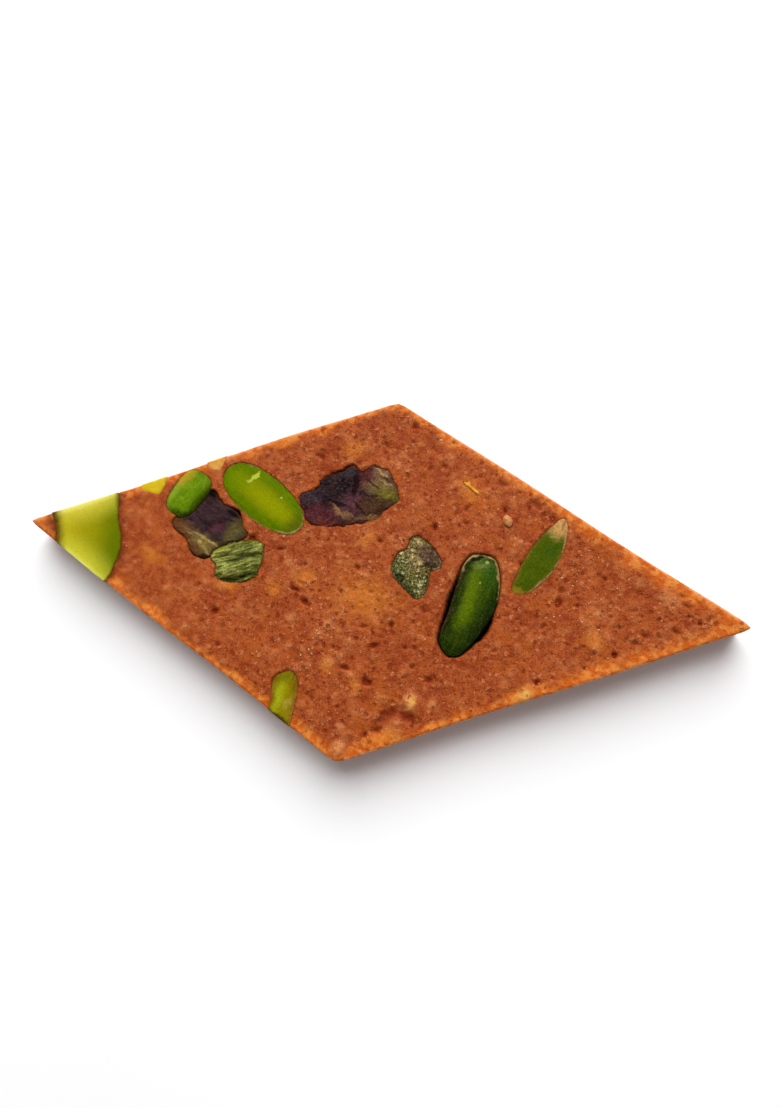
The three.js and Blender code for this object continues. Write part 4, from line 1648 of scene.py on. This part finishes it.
PURPLE_SKIN = KernelFinish(
    face=(44, 28, 32), rim=(54, 34, 22), mottle=(34, 21, 26), rim_width=0.4,
    lit_crest=(84, 60, 64), lit_crest_share=0.2, shaded_valley=(24, 13, 17), shaded_valley_share=0.45, roughness=0.5, glow=0.05,
    grain=0.18, fibre=(120, 92, 70), fibre_size=0.3, fibre_stretch=4.0, fibre_turn=-30, fibre_share=0.1,
    patches=(
        Patch((104, 70, 42), (-24.1, 1.9), (2.4, 0.9), -32, 0.9, 0.8, 0.9),
        Patch((128, 106, 46), (-21.2, 0.3), (2.6, 1.0), -25, 0.9, 0.8, 0.9),
        Patch((88, 56, 22), (-22.4, -0.4), (1.4, 0.5), -30, 0.8, 0.5, 0.4),
        Patch((92, 84, 36), (-17.5, 2.0), (1.0, 1.9), -15, 0.9, 0.85, 0.8),
        Patch((80, 40, 48), (-19.7, 2.5), (1.1, 0.6), 20, 0.7, 0.5, 0.5),
    ),
    overlays=(
        Patch((178, 148, 88), (-21.5, 0.5), (0.28, 0.25), 0, 0.8, 0.6, 0.2),
        Patch((168, 146, 88), (-20.6, 0.9), (1.8, 0.16), -22, 0.75, 0.6, 0.5),
        Patch((160, 138, 80), (-20.5, -0.5), (0.8, 0.18), -45, 0.7, 0.5, 0.3),
        Patch((172, 132, 84), (-23.0, 1.4), (0.5, 0.14), -30, 0.6, 0.6, 0.4),
        Patch((42, 20, 8), (-20.4, -1.3), (0.9, 0.35), 0, 0.9, 0.4, 0.3),
        # The two near-black patches lie in its crevices: painted shadow.
        Patch((10, 6, 8), (-18.2, 4.7), (0.9, 0.3), -28, 0.9, 0.5, 0.2),
        Patch((10, 6, 8), (-21.4, 6.9), (0.7, 0.4), -35, 0.85, 0.5, 0.2),
        Patch((92, 52, 28), (-25.0, 2.4), (0.9, 1.5), 30, 0.8, 0.8, 0.6),
        Patch((104, 66, 34), (-23.3, 0.9), (2.0, 0.4), -42, 0.8, 0.8, 0.7),
    ),
)
WRINKLED_GREEN = KernelFinish(
    face=(76, 82, 28), rim=(76, 76, 20), mottle=(62, 74, 24), rim_width=0.4, mottle_size=1.0,
    lit_crest=(168, 168, 86), lit_crest_share=0.72, shaded_valley=(22, 30, 6), shaded_valley_share=0.95, roughness=0.55,
    fibre=(166, 164, 84), fibre_turn=22, fibre_size=0.12, fibre_share=0.55, glow=0.05,
    grain=0.3,
    patches=(
        Patch((130, 126, 44), (-18.7, -0.3), (1.3, 0.5), 30, 0.8, 0.5, 0.4),
        Patch((80, 104, 40), (-18.2, -1.6), (0.9, 0.5), 0, 0.6, 0.5, 0.4),
    ),
    overlays=(
        # The dark lines between its ridges are painted shade in the grooves.
        Patch((22, 26, 6), (-14.9, -0.1), (1.7, 0.3), 18, 0.9, 0.5, 0.3),
        Patch((28, 32, 8), (-17.2, -1.2), (1.5, 0.2), 20, 0.75, 0.6, 0.4),
        Patch((28, 30, 8), (-14.6, -2.5), (1.2, 0.35), 20, 0.8, 0.5, 0.4),
        Patch((34, 34, 8), (-16.8, -3.6), (1.6, 0.25), 8, 0.8, 0.5, 0.3),
    ),
)
BLACK_SKIN = KernelFinish(
    face=(38, 25, 29), rim=(70, 36, 22), mottle=(24, 17, 21), rim_width=0.3, mottle_size=1.3,
    lit_crest=(76, 54, 56), lit_crest_share=0.2, shaded_valley=(14, 8, 11), shaded_valley_share=0.55, roughness=0.45, glow=0.05,
    grain=0.32, fibre=(140, 104, 96), fibre_size=0.13, fibre_stretch=3.5, fibre_turn=24, fibre_share=0.2,
    patches=(
        Patch((15, 13, 16), (-6.2, 10.0), (2.9, 1.7), 25, 0.95, 0.4, 0.6),
        # The small bluish-grey patch on its top is a painted sheen.
        Patch((38, 40, 46), (-4.4, 12.0), (0.9, 0.4), 10, 0.8, 0.5, 0.4),
        Patch((40, 31, 42), (-8.3, 8.3), (1.6, 0.8), 10, 0.7, 0.5, 0.5),
        Patch((80, 30, 37), (-7.5, 6.2), (2.4, 1.1), 5, 0.85, 0.6, 0.7),
        Patch((86, 44, 54), (-3.3, 8.1), (1.3, 1.3), 0, 0.75, 0.6, 0.7),
        Patch((84, 36, 36), (-2.1, 11.7), (1.1, 1.6), 0, 0.8, 0.6, 0.7),
        Patch((140, 106, 66), (-0.4, 12.2), (1.1, 1.0), 0, 0.8, 0.6, 0.9),
        Patch((124, 102, 52), (-0.2, 10.5), (1.9, 0.9), 0, 0.85, 0.6, 0.8),
        Patch((66, 42, 6), (-0.9, 8.3), (1.9, 1.0), 18, 0.9, 0.5, 0.5),
        Patch((146, 108, 70), (-5.2, 7.0), (1.1, 0.28), -38, 0.8, 0.5, 0.8),
        Patch((134, 98, 64), (-4.2, 6.7), (1.3, 0.28), -12, 0.75, 0.5, 0.8),
        Patch((128, 88, 46), (-0.9, 6.7), (1.8, 0.35), 12, 0.8, 0.6, 0.8),
        Patch((126, 86, 54), (-4.3, 6.5), (1.2, 0.5), -20, 0.7, 0.6, 0.9),
        Patch((104, 44, 30), (-6.0, 5.2), (2.6, 0.4), 0, 0.8, 0.8, 0.6),
    ),
    overlays=(
        Patch((112, 102, 30), (0.7, 9.8), (1.4, 0.55), -8, 0.8, 0.8, 0.7),
        Patch((30, 12, 16), (-3.5, 10.6), (0.35, 1.7), 0, 0.85, 0.5, 0.3),
        Patch((44, 24, 16), (-1.4, 10.9), (1.2, 0.14), -30, 0.8, 0.6, 0.6),
        Patch((50, 28, 14), (-0.2, 11.9), (1.1, 0.12), -24, 0.75, 0.6, 0.6),
        Patch((170, 132, 92), (-0.4, 12.5), (0.9, 0.1), -28, 0.7, 0.6, 0.6),
        Patch((164, 130, 84), (0.3, 11.2), (0.9, 0.1), -20, 0.7, 0.6, 0.6),
        Patch((30, 14, 10), (-2.4, 7.6), (1.2, 0.16), -35, 0.8, 0.6, 0.6),
        Patch((26, 12, 14), (-5.2, 7.9), (1.6, 0.2), -12, 0.8, 0.6, 0.6),
    ),
)
SPECKLED = KernelFinish(
    face=(84, 84, 42), rim=(74, 64, 28), mottle=(54, 66, 26), rim_width=0.35, mottle_size=1.0,
    lit_crest=(210, 194, 136), lit_crest_share=0.85, shaded_valley=(20, 30, 8), shaded_valley_share=0.92, roughness=0.55,
    speck=(178, 158, 106), speck_size=0.16, speck_share=0.55, glow=0.05, bump_depth=0.06, bump_size=0.15,
    grain=0.4,
    patches=(
        Patch((162, 132, 84), (5.2, 3.2), (1.1, 2.1), -10, 0.75, 0.6, 0.5),
        Patch((70, 92, 44), (3.6, 0.8), (0.9, 1.6), -10, 0.6, 0.6, 0.5),
        Patch((120, 96, 42), (6.2, 1.0), (1.4, 0.5), 30, 0.6, 0.5, 0.4),
    ),
    overlays=(
        Patch((26, 30, 8), (3.9, -0.2), (1.1, 0.4), -42, 0.8, 0.5, 0.4),
        Patch((42, 52, 18), (5.3, -1.7), (0.9, 0.4), -45, 0.7, 0.5, 0.4),
        Patch((178, 156, 104), (6.1, 2.4), (0.9, 0.5), 60, 0.7, 0.6, 0.9),
        Patch((76, 52, 42), (7.1, 2.9), (1.7, 1.2), -42, 0.85, 0.25, 0.45),
        Patch((46, 27, 21), (7.6, 1.8), (1.2, 0.4), 5, 0.7, 0.5, 0.4),
    ),
)
DEEP_GREEN = KernelFinish(
    face=(46, 66, 3), rim=(22, 38, 3), mottle=(38, 60, 4), rim_width=1.2, mottle_share=0.4,
    roughness=0.32, specular=0.012, fibre=(74, 98, 18), fibre_turn=78, fibre_share=0.3, glow=0.15,
    speck=(110, 130, 52), speck_size=0.16, speck_share=0.14, seam_shade=(14, 9, 3), seam_shade_share=0.7, skin_grain=0.14,
    grain=0.26,
    patches=(
        # The pale streak along the crown is painted light; the dark patches down its left flank, lower end
        # and right side are painted shade.
        Patch((90, 108, 2), (12.3, -1.8), (4.4, 0.75), 82, 0.85, 0.8, 0.4),
        Patch((44, 78, 16), (14.6, 1.6), (1.6, 0.8), 100, 0.6, 0.6, 0.5),
        Patch((24, 30, 4), (10.6, -2.2), (5.4, 0.75), 80, 0.9, 0.7, 0.5),
        Patch((26, 40, 7), (12.0, -7.0), (2.4, 1.8), 40, 0.75, 0.6, 0.5),
        Patch((24, 36, 9), (14.5, -3.8), (2.4, 0.9), 65, 0.85, 0.6, 0.4),
    ),
    overlays=(
        # The near-black strip in the gap at its top is a painted shadow.
        Patch((8, 7, 3), (12.5, 3.35), (1.15, 0.27), 27, 0.95, 0.35, 0.35),
        Patch((170, 178, 96), (13.9, 3.15), (0.2, 0.2), 0, 0.8, 0.5, 0.1),
        Patch((120, 134, 72), (13.4, 2.6), (0.9, 0.5), 20, 0.4, 0.9, 0.9),
        Patch((140, 152, 54), (13.4, 0.5), (0.12, 0.12), 0, 0.8, 0.5, 0.1),
        Patch((150, 128, 78), (10.9, 0.9), (0.14, 0.2), 0, 0.8, 0.6, 0.2),
        Patch((142, 118, 70), (10.2, -2.4), (0.14, 0.2), 0, 0.8, 0.6, 0.2),
    ),
)
LEAF_GREEN = KernelFinish(
    face=(70, 86, 6), rim=(104, 88, 22), mottle=(56, 72, 4), rim_width=0.4, mottle_size=1.4,
    mottle_share=0.5, roughness=0.38, fibre=(84, 102, 20), fibre_turn=64, fibre_share=0.25, grain=0.22,
    patches=(
        Patch((50, 78, 16), (21.2, 5.6), (0.9, 0.8), 0, 0.6, 0.6, 0.4),
        Patch((132, 110, 26), (17.7, 0.2), (0.9, 0.6), 0, 0.9, 0.5, 0.3),
        Patch((190, 142, 84), (22.2, 9.4), (2.0, 1.4), 70, 1.0, 0.45, 0.5),
    ),
    overlays=(
        Patch((160, 148, 70), (21.3, 7.4), (0.5, 0.12), 10, 0.6, 0.5, 0.4),
        Patch((128, 84, 48), (22.3, 9.3), (0.9, 0.12), 75, 0.6, 0.6, 0.3),
    ),
)

KERNELS = [
    Kernel(
        "tip_cut", "sliced_pistachio", (-36.5, 0.4), YELLOW_CUT, rise=0.04, sink=0.02, depth=3.3,
        corners=((-42.3, 3.2), (-40.9, 0.1), (-39.4, -3.2), (-35.6, -6.8), (-32.7, -6.4), (-31.6, -3.2),
                 (-31.7, -0.8), (-32.9, 2.4), (-33.9, 5.6), (-38.2, 6.2)),
        at_edge=True, shade=4.0, halo=0.6,
        skins=(Skin(145, 240, 0.6, dark=True, soft=0.55, broken=0.3),),
    ),
    Kernel(
        "chip_left", "sliced_pistachio", (-29.2, 7.0), GOLD_CHIP, rise=0.04, sink=0.02, depth=1.6, shade=0.3,
        corners=((-30.9, 6.4), (-29.6, 5.95), (-28.1, 6.1), (-27.9, 8.9), (-29.6, 8.8)), at_edge=True,
    ),
    Kernel(
        "stub", "green_pistachio", (-24.5, 6.5), BRIGHT_GREEN, rise=0.4, sink=0.0, depth=2.4,
        face=Face.GROWN, length=6.4, width=4.3, turn=65, fullness=0.62, blunt=0.72, taper=-0.06,
        crevices=(Crevice(-55, 0.3, 40),),
    ),
    Kernel(
        "purple", "skinned_pistachio", (-20.8, 2.7), PURPLE_SKIN, rise=0.12, sink=0.3, depth=2.1,
        face=Face.CRUMPLED, turn=-35, ragged=0.12,
        corners=((-21.6, 7.2), (-19.7, 6.0), (-17.6, 4.9), (-16.5, 3.3), (-15.9, 2.0), (-19.2, -0.8),
                 (-20.7, -1.6), (-22.5, -0.9), (-23.6, 0.7), (-25.3, 1.7), (-25.8, 2.9), (-24.0, 4.6)),
        shade=1.8, under=("stub", "ridged"), crevices=(Crevice(38, 0.4, 12), Crevice(98, 0.3, 10)),
    ),
    Kernel(
        "ridged", "wrinkled_pistachio", (-16.3, -1.1), WRINKLED_GREEN, rise=0.4, sink=0.1, depth=1.9,
        face=Face.RIDGED, ridges=Ridges(24, 2.7, 0.3, 0.4), ragged=0.17,
        corners=((-19.8, -0.9), (-18.7, 0.4), (-15.7, 1.65), (-13.5, 1.4), (-13.3, -0.8), (-13.9, -2.9),
                 (-16.2, -3.9), (-18.5, -3.7), (-19.0, -2.2)),
    ),
    Kernel(
        "half", "sliced_pistachio", (-14.8, 7.25), HALF_CUT, rise=0.1, sink=0.08, depth=2.4,
        length=12.6, width=5.85, turn=-31, fullness=0.82, taper=0.04,
        skins=(Skin(-160, -18, 0.1, broken=0.9), Skin(-56, -26, 0.2), Skin(60, 150, 0.07, broken=1.0)),
    ),
    Kernel(
        "dark", "skinned_pistachio", (-4.3, 9.1), BLACK_SKIN, rise=0.25, sink=0.16, depth=2.2,
        face=Face.CRUMPLED, ridges=Ridges(62, 4.2, 0.25, 1.1), ragged=0.22,
        corners=((-10.3, 8.1), (-8.7, 9.3), (-7.3, 11.3), (-5.6, 12.1), (-4.2, 13.0), (-3.1, 12.3),
                 (-1.6, 13.5), (0.3, 12.8), (1.9, 10.5), (1.9, 9.0), (0.4, 7.7), (0.0, 6.5),
                 (-3.4, 5.4), (-5.2, 4.9), (-8.6, 5.0)),
        under=("half",), crevices=(Crevice(110, 0.3, 30),),
    ),
    Kernel(
        "speckled", "wrinkled_pistachio", (5.4, 1.3), SPECKLED, rise=0.2, sink=0.15, depth=1.7,
        face=Face.CRUMBLY, ridges=Ridges(118, 3.4, 0.18, 0.8), ragged=0.1,
        corners=((5.3, 5.3), (6.7, 4.6), (8.2, 3.1), (8.6, 1.7), (7.4, 1.0), (7.4, -0.6), (7.0, -2.1),
                 (6.0, -2.5), (4.8, -1.7), (3.3, -0.6), (2.6, 1.0), (3.1, 2.7), (4.1, 3.7), (4.3, 4.8)),
    ),
    Kernel(
        "whole", "green_pistachio", (12.7, -2.1), DEEP_GREEN, rise=0.75, sink=0.35, depth=2.3,
        face=Face.GROWN, turn=80, domed=True,
        corners=((13.2, 4.1), (14.7, 3.8), (15.5, 2.2), (15.8, 0.0), (15.5, -2.6), (14.6, -4.7),
                 (13.4, -6.8), (12.1, -8.3), (10.7, -8.4), (9.6, -7.1), (9.6, -5.7), (10.1, -3.6),
                 (10.5, -1.0), (11.0, 2.1), (11.9, 3.8)),
        loose=0.14, shade=1.8,
        crevices=(Crevice(-54, 0.55, 26), Crevice(172, 0.46, 34), Crevice(212, 0.22, 24),
                  Crevice(135, 0.1, 20)),
        skins=(Skin(100, 228, 0.42, dark=True, soft=0.14, broken=0.9), Skin(84, 112, 0.3, broken=0.6),
               Skin(16, 76, 0.22, broken=0.9)),
    ),
    Kernel(
        "leaf", "green_pistachio", (20.2, 4.7), LEAF_GREEN, rise=0.06, sink=0.06, depth=1.3,
        corners=((22.2, 10.0), (22.8, 8.8), (22.7, 6.6), (22.2, 4.5), (21.3, 2.7), (19.4, 0.5),
                 (17.9, -0.1), (17.1, 0.5), (17.5, 2.3), (18.4, 4.9), (19.8, 7.4), (21.1, 9.0)),
        turn=64, skins=(Skin(-100, 48, 0.17, broken=0.9), Skin(-105, -60, 0.24)),
    ),
    Kernel(
        "chip_near", "sliced_pistachio", (-7.4, -16.2), LIME_CHIP, rise=0.04, sink=0.04, depth=2.2,
        corners=((-8.9, -14.3), (-7.6, -13.2), (-6.3, -13.6), (-5.8, -16.2), (-6.3, -20.2), (-8.6, -19.4),
                 (-8.8, -16.4)),
        at_edge=True,
        skins=(Skin(-70, 40, 0.26, soft=0.35, broken=1.0), Skin(140, 200, 0.18, soft=0.25, broken=1.0)),
    ),
    Kernel(
        "chip_far", "sliced_pistachio", (-21.7, 10.9), PALE_CHIP, rise=0.04, sink=0.02, depth=1.1, shade=0.2,
        corners=((-23.0, 10.5), (-21.2, 10.1), (-20.7, 12.6), (-22.3, 12.4)), at_edge=True,
    ),
]


# ---- loose bits on the top ----


@dataclass(frozen=True)
class BitFinish:
    """A small pale bit of nut or kernel."""

    name: str
    base: Colour
    light: Colour
    roughness: float
    specular: float = 0.12
    glow: float = 0.3
    glow_reach: Triple = (0.6, 0.4, 0.15)

    def material(self) -> bpy.types.Material:
        """Makes the material.

        Returns:
            A softly mottled, slightly translucent material.
        """
        wiring = Wiring(self.name)
        mottling = wiring.grade(wiring.noise(size=0.5, detail=3.0), 0.35, 0.65)
        wiring.dress(wiring.mix(mottling, self.base, self.light), self.roughness, self.specular)
        wiring.bump(wiring.noise(size=0.15), 0.02)
        wiring.glow(self.glow, self.glow_reach)
        return wiring.material


@dataclass
class NutBits:
    """The golden strand and the beige crumb that lie half sunk in the top."""

    diamond: Diamond
    prongs: tuple[tuple[Place, Place, Place, float], ...] = (
        ((9.7, 12.8), (10.7, 12.2), (11.75, 11.5), 0.2),
        ((10.3, 12.95), (10.4, 12.6), (10.7, 12.2), 0.14),
    )
    strand_lift: float = 0.07
    crumb_at: Place = (15.6, 8.6)
    crumb_size: Triple = (1.6, 1.1, 0.9)
    crumb_turn: float = -65.0
    crumb_lift: float = 0.1
    strand_finish: BitFinish = BitFinish("gold_strand", (200, 118, 18), (230, 158, 52), 0.3)
    crumb_finish: BitFinish = BitFinish("beige_crumb", (170, 106, 58), (212, 150, 94), 0.5)

    STRAND_SEED = 19
    CRUMB_SEED = 77
    STEPS = 24
    SIDES = 12
    CRUMB_RINGS = 24
    CRUMB_SIDES = 40

    def prong(self, start: Place, bend: Place, stop: Place, radius: float) -> tuple[Array, Array]:
        """Lays a tapering tube along a bowed route.

        Args:
            start: where it starts.
            bend: the place that it bows towards.
            stop: where it ends.
            radius: its greatest radius.

        Returns:
            Its points, and its vertex numbers with one row for each ring.
        """
        share = np.linspace(0, 1, self.STEPS)[:, None]
        bends = ((1 - share) ** 2, 2 * share * (1 - share), share**2)
        route = sum(part * np.array(place) for part, place in zip(bends, (start, bend, stop)))
        level = self.diamond.swell(route[:, 0], route[:, 1]) + self.strand_lift
        ahead = np.gradient(route, axis=0)
        ahead /= np.linalg.norm(ahead, axis=1, keepdims=True)
        sideways = np.stack([-ahead[:, 1], ahead[:, 0]], axis=1)
        wander = 1 + 0.25 * Grain(self.STRAND_SEED).at(route[:, 0], route[:, 1], 0.35)
        size = radius * wander * np.sqrt(np.clip(1 - (2 * share[:, 0] - 1) ** 8, 0.02, 1))
        angle = all_round(self.SIDES)
        across = np.cos(angle)[None, :] * size[:, None]
        x = route[:, :1] + sideways[:, :1] * across
        y = route[:, 1:] + sideways[:, 1:] * across
        z = level[:, None] + 0.8 * np.sin(angle)[None, :] * size[:, None]
        points = np.stack([x, y, z], axis=-1).reshape(-1, 3)
        return points, np.arange(len(points)).reshape(self.STEPS, self.SIDES)

    def build_strand(self) -> Piece:
        """Makes the strand, which forks at one end.

        Returns:
            The dressed piece.
        """
        blocks, faces, count = [], [], 0
        for prong in self.prongs:
            points, numbers = self.prong(*prong)
            numbers = numbers + count
            for one, other in zip(numbers[:-1], numbers[1:]):
                faces += rows_of_quads(other, one)
            faces += [numbers[0].tolist(), numbers[-1].tolist()[::-1]]
            blocks.append(points)
            count += len(points)
        points = np.concatenate(blocks)
        return self.lay(make_piece("gold_strand", points, faces, self.strand_finish.material()))

    def build_crumb(self) -> Piece:
        """Makes the crumb as a lumpy closed pebble.

        Returns:
            The dressed piece.
        """
        grain = Grain(self.CRUMB_SEED)
        rings = np.linspace(0, math.pi, self.CRUMB_RINGS + 2)[1:-1]
        angle = all_round(self.CRUMB_SIDES)
        polar, around = np.meshgrid(rings, angle, indexing="ij")
        unit = np.stack([np.sin(polar) * np.cos(around), np.sin(polar) * np.sin(around), np.cos(polar)], -1)
        lump = 1 + 0.16 * grain.fractal(unit[..., 0] + unit[..., 2] + 5, unit[..., 1] + 5, 0.7)
        body = unit * lump[..., None] * np.array(self.crumb_size) / 2
        ends = np.array([[0, 0, 1], [0, 0, -1]]) * self.crumb_size[2] / 2
        points = np.concatenate([ends[:1], body.reshape(-1, 3), ends[1:]])
        x, y = lie(points[:, 0], points[:, 1], -self.crumb_turn)
        middle = [np.array([value]) for value in self.crumb_at]
        level = float(self.diamond.swell(*middle)[0]) + self.crumb_lift
        points = np.stack([x + self.crumb_at[0], y + self.crumb_at[1], points[:, 2] + level], axis=1)
        faces = closed_rings(len(points), self.CRUMB_SIDES)
        return self.lay(make_piece("beige_crumb", points, faces, self.crumb_finish.material()))

    def lay(self, piece: Piece) -> Piece:
        """Fixes a bit to the sweet.

        Args:
            piece: the bit.

        Returns:
            The same piece.
        """
        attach(piece, "root")
        return piece


@dataclass
class SugarGrains:
    """Tiny pale crystals half sunk in the top.

    count of them are drawn at random, with drift_share of those in a few drifts. Larger ones lie at the
    places in seen and along a short dash.
    """

    diamond: Diamond
    kernels: list[Kernel]
    count: int = 230
    radius: tuple[float, float] = (0.035, 0.09)
    drifts: tuple[Triple, ...] = ((-5.4, -10.6, 3.4), (24.2, 1.8, 3.6), (2.6, 9.0, 5.0))
    drift_share: float = 0.5
    seen: tuple[Place, ...] = (
        (22.76, 2.64), (24.12, 1.88), (27.45, 0.71), (26.6, -7.4), (22.4, -2.1), (34.06, 1.38),
        (25.5, 6.4), (-5.38, -10.36), (-6.21, -11.15), (-5.9, -12.9), (-5.0, -10.8), (-4.55, -8.35),
        (4.66, 15.69), (6.09, 17.9), (1.49, 20.42), (6.6, 11.3),
    )
    dash_from: Place = (3.1, 4.6)
    dash_to: Place = (3.5, 4.05)
    dash_count: int = 4
    finish: BitFinish = BitFinish("sugar_grains", (222, 146, 98), (240, 184, 140), 0.3)

    PLACE_SEED = 67
    SHAPE_SEED = 71
    LARGER = 1.3
    CLEARANCE = 0.25

    def places(self) -> list[Place]:
        """Draws where the grains lie, clear of the kernels.

        Returns:
            Their places.
        """
        draw = np.random.default_rng(self.PLACE_SEED)
        found = []
        while len(found) < self.count:
            if draw.random() < self.drift_share:
                x, y, spread = self.drifts[draw.integers(len(self.drifts))]
                x, y = x + spread * draw.normal() / 1.6, y + spread * draw.normal() / 1.6
            else:
                x, y = self.diamond.place(*draw.uniform(0.8, self.diamond.side - 0.8, 2))
            if self.diamond.inset(x, y) > 0.6 and all(self.is_clear(kernel, x, y) for kernel in self.kernels):
                found.append((float(x), float(y)))
        return found

    def is_clear(self, kernel: Kernel, x: float, y: float) -> bool:
        """Checks a place against a kernel and its pocket.

        Args:
            kernel: the kernel.
            x: the place along X.
            y: the place along Y.

        Returns:
            Whether the place lies outside both.
        """
        away_x, away_y = x - kernel.at[0], y - kernel.at[1]
        bearing = np.array([math.atan2(away_y, away_x)])
        pocket = float((kernel.reach(bearing) + kernel.gap(bearing))[0])
        return math.hypot(away_x, away_y) > pocket + self.CLEARANCE

    def lump(self) -> tuple[Array, Array]:
        """Lays out a regular body of twenty triangles.

        Returns:
            Its knots at a distance of 1 from its middle, and the knots of each triangle.
        """
        golden = (1 + math.sqrt(5)) / 2
        knots = np.array([np.roll((side, up, 0), turn)
                          for turn in range(3) for up in (golden, -golden) for side in (-1, 1)])
        edge = 2.0
        facets = []
        for triple in itertools.combinations(range(len(knots)), 3):
            sides = knots[list(triple)] - knots[list(np.roll(triple, 1))]
            if np.allclose(np.linalg.norm(sides, axis=1), edge):
                outward = np.linalg.det(knots[list(triple)]) > 0
                facets.append(triple if outward else triple[::-1])
        return knots / np.linalg.norm(knots[0]), np.array(facets)

    def build(self, top: PasteSlab) -> Piece:
        """Makes all grains as one piece of small faceted lumps.

        Args:
            top: the finished slab, which tells how high its top is at a place.

        Returns:
            The dressed piece.
        """
        draw = np.random.default_rng(self.SHAPE_SEED)
        knots, facets = self.lump()
        dash = np.linspace(self.dash_from, self.dash_to, self.dash_count)
        places = [*self.places(), *dash.tolist(), *self.seen]
        blocks, faces = [], []
        for number, (x, y) in enumerate(places):
            size = draw.uniform(*self.radius) if number < self.count else self.radius[1] * self.LARGER
            lump = knots * size * draw.uniform(0.7, 1.3, (len(knots), 1)) * draw.uniform(0.7, 1.2, 3)
            across, up = lie(lump[:, 0], lump[:, 1], -draw.uniform(0, 360))
            level = top.level_at(x, y) + 0.25 * size
            blocks.append(np.stack([across + x, up + y, lump[:, 2] + level], axis=1))
            faces += (facets + len(knots) * number).tolist()
        piece = make_piece("sugar_grains", np.concatenate(blocks), faces, self.finish.material())
        piece.data.polygons.foreach_set("use_smooth", [False] * len(piece.data.polygons))
        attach(piece, "root")
        return piece


# ---- the studio ----


@dataclass(frozen=True)
class Lamp:
    """A square lamp that faces the sweet."""

    name: str
    at: Triple
    size: float
    power: float


@dataclass(frozen=True)
class Studio:
    """A white floor, soft light from above and behind, and the photograph's view of the sweet."""

    floor_reach: float = 1500.0
    floor_colours: tuple[Colour, Colour] = ((250, 250, 251), (253, 253, 253))
    sky: float = 0.25
    zenith_share: float = 0.35
    zenith_span: Place = (0.6, 0.97)
    lamps: tuple[Lamp, ...] = (
        Lamp("window", (-60.0, 540.0, 580.0), 840.0, 10.6),
        Lamp("fill", (200.0, -260.0, 260.0), 320.0, 0.12),
    )
    eye: Triple = (12.35, -15.56, 87.13)
    aim: Triple = (2.2, 2.51, 5.0)
    upright: Triple = (-0.1431, 0.9627, 0.2295)
    lens: float = 22.74
    clip_start: float = 1.0
    clip_end: float = 10000.0

    def lay_floor(self) -> None:
        """Makes the floor."""
        reach = self.floor_reach
        corners = np.array([[-reach, -reach, 0], [reach, -reach, 0], [reach, reach, 0], [-reach, reach, 0]])
        wiring = Wiring("floor")
        tone = wiring.grade(wiring.noise(size=60.0), 0.0, 1.0)
        wiring.dress(wiring.mix(tone, *self.floor_colours), roughness=0.7, specular=0.5)
        floor = make_piece("floor", corners, [[0, 1, 2, 3]], wiring.material)

    def light(self) -> None:
        """Sets the lamps and the even light of the room."""
        world = bpy.data.worlds.new("room")
        world.use_nodes = True
        background = world.node_tree.nodes["Background"]
        nodes, links = world.node_tree.nodes, world.node_tree.links
        heading = nodes.new("ShaderNodeTexCoord").outputs["Generated"]
        parts = nodes.new("ShaderNodeSeparateXYZ")
        links.new(heading, parts.inputs[0])
        shade = nodes.new("ShaderNodeMapRange")
        shade.interpolation_type = "SMOOTHSTEP"
        links.new(parts.outputs["Z"], shade.inputs["Value"])
        values = (*self.zenith_span, self.sky, self.sky * self.zenith_share)
        for socket, value in zip(("From Min", "From Max", "To Min", "To Max"), values):
            shade.inputs[socket].default_value = value
        links.new(shade.outputs["Result"], background.inputs["Strength"])
        background.inputs["Color"].default_value = (1.0, 1.0, 1.0, 1.0)
        bpy.context.scene.world = world
        for lamp in self.lamps:
            light = bpy.data.lights.new(lamp.name, "AREA")
            light.size = lamp.size * MM
            light.energy = lamp.power
            holder = bpy.data.objects.new(lamp.name, light)
            holder.location = Vector(lamp.at) * MM
            holder.rotation_euler = (-holder.location).to_track_quat("-Z", "Y").to_euler()
            bpy.context.scene.collection.objects.link(holder)

    def place_camera(self) -> None:
        """Places the camera where the photograph was taken from."""
        camera = bpy.data.cameras.new("camera")
        camera.lens = self.lens
        camera.clip_start = self.clip_start * MM
        camera.clip_end = self.clip_end * MM
        holder = bpy.data.objects.new("camera", camera)
        forward = (Vector(self.aim) - Vector(self.eye)).normalized()
        right = forward.cross(Vector(self.upright)).normalized()
        up = right.cross(forward)
        turn = Matrix((right, up, -forward)).transposed().to_4x4()
        holder.matrix_world = Matrix.Translation(Vector(self.eye) * MM) @ turn
        bpy.context.scene.collection.objects.link(holder)
        bpy.context.scene.camera = holder
        bpy.context.scene.view_settings.view_transform = "Standard"


def main() -> None:
    """Builds the sweet and its studio."""
    logging.basicConfig(level=logging.INFO, format="%(name)s: %(message)s")
    diamond = Diamond()
    slab = PasteSlab(diamond, KERNELS, PasteFinish())
    pieces = [slab.build()]
    by_name = {kernel.name: kernel for kernel in KERNELS}
    for kernel in KERNELS:
        pieces.append(kernel.build(diamond, [by_name[name] for name in kernel.under]))
    bits = NutBits(diamond)
    pieces += [bits.build_strand(), bits.build_crumb(), SugarGrains(diamond, KERNELS).build(slab)]
    for piece in pieces:
        LOG.info("%s: %d faces", piece.name, len(piece.data.polygons))
    studio = Studio()
    studio.lay_floor()
    studio.light()
    studio.place_camera()


if __name__ == "__main__":
    main()
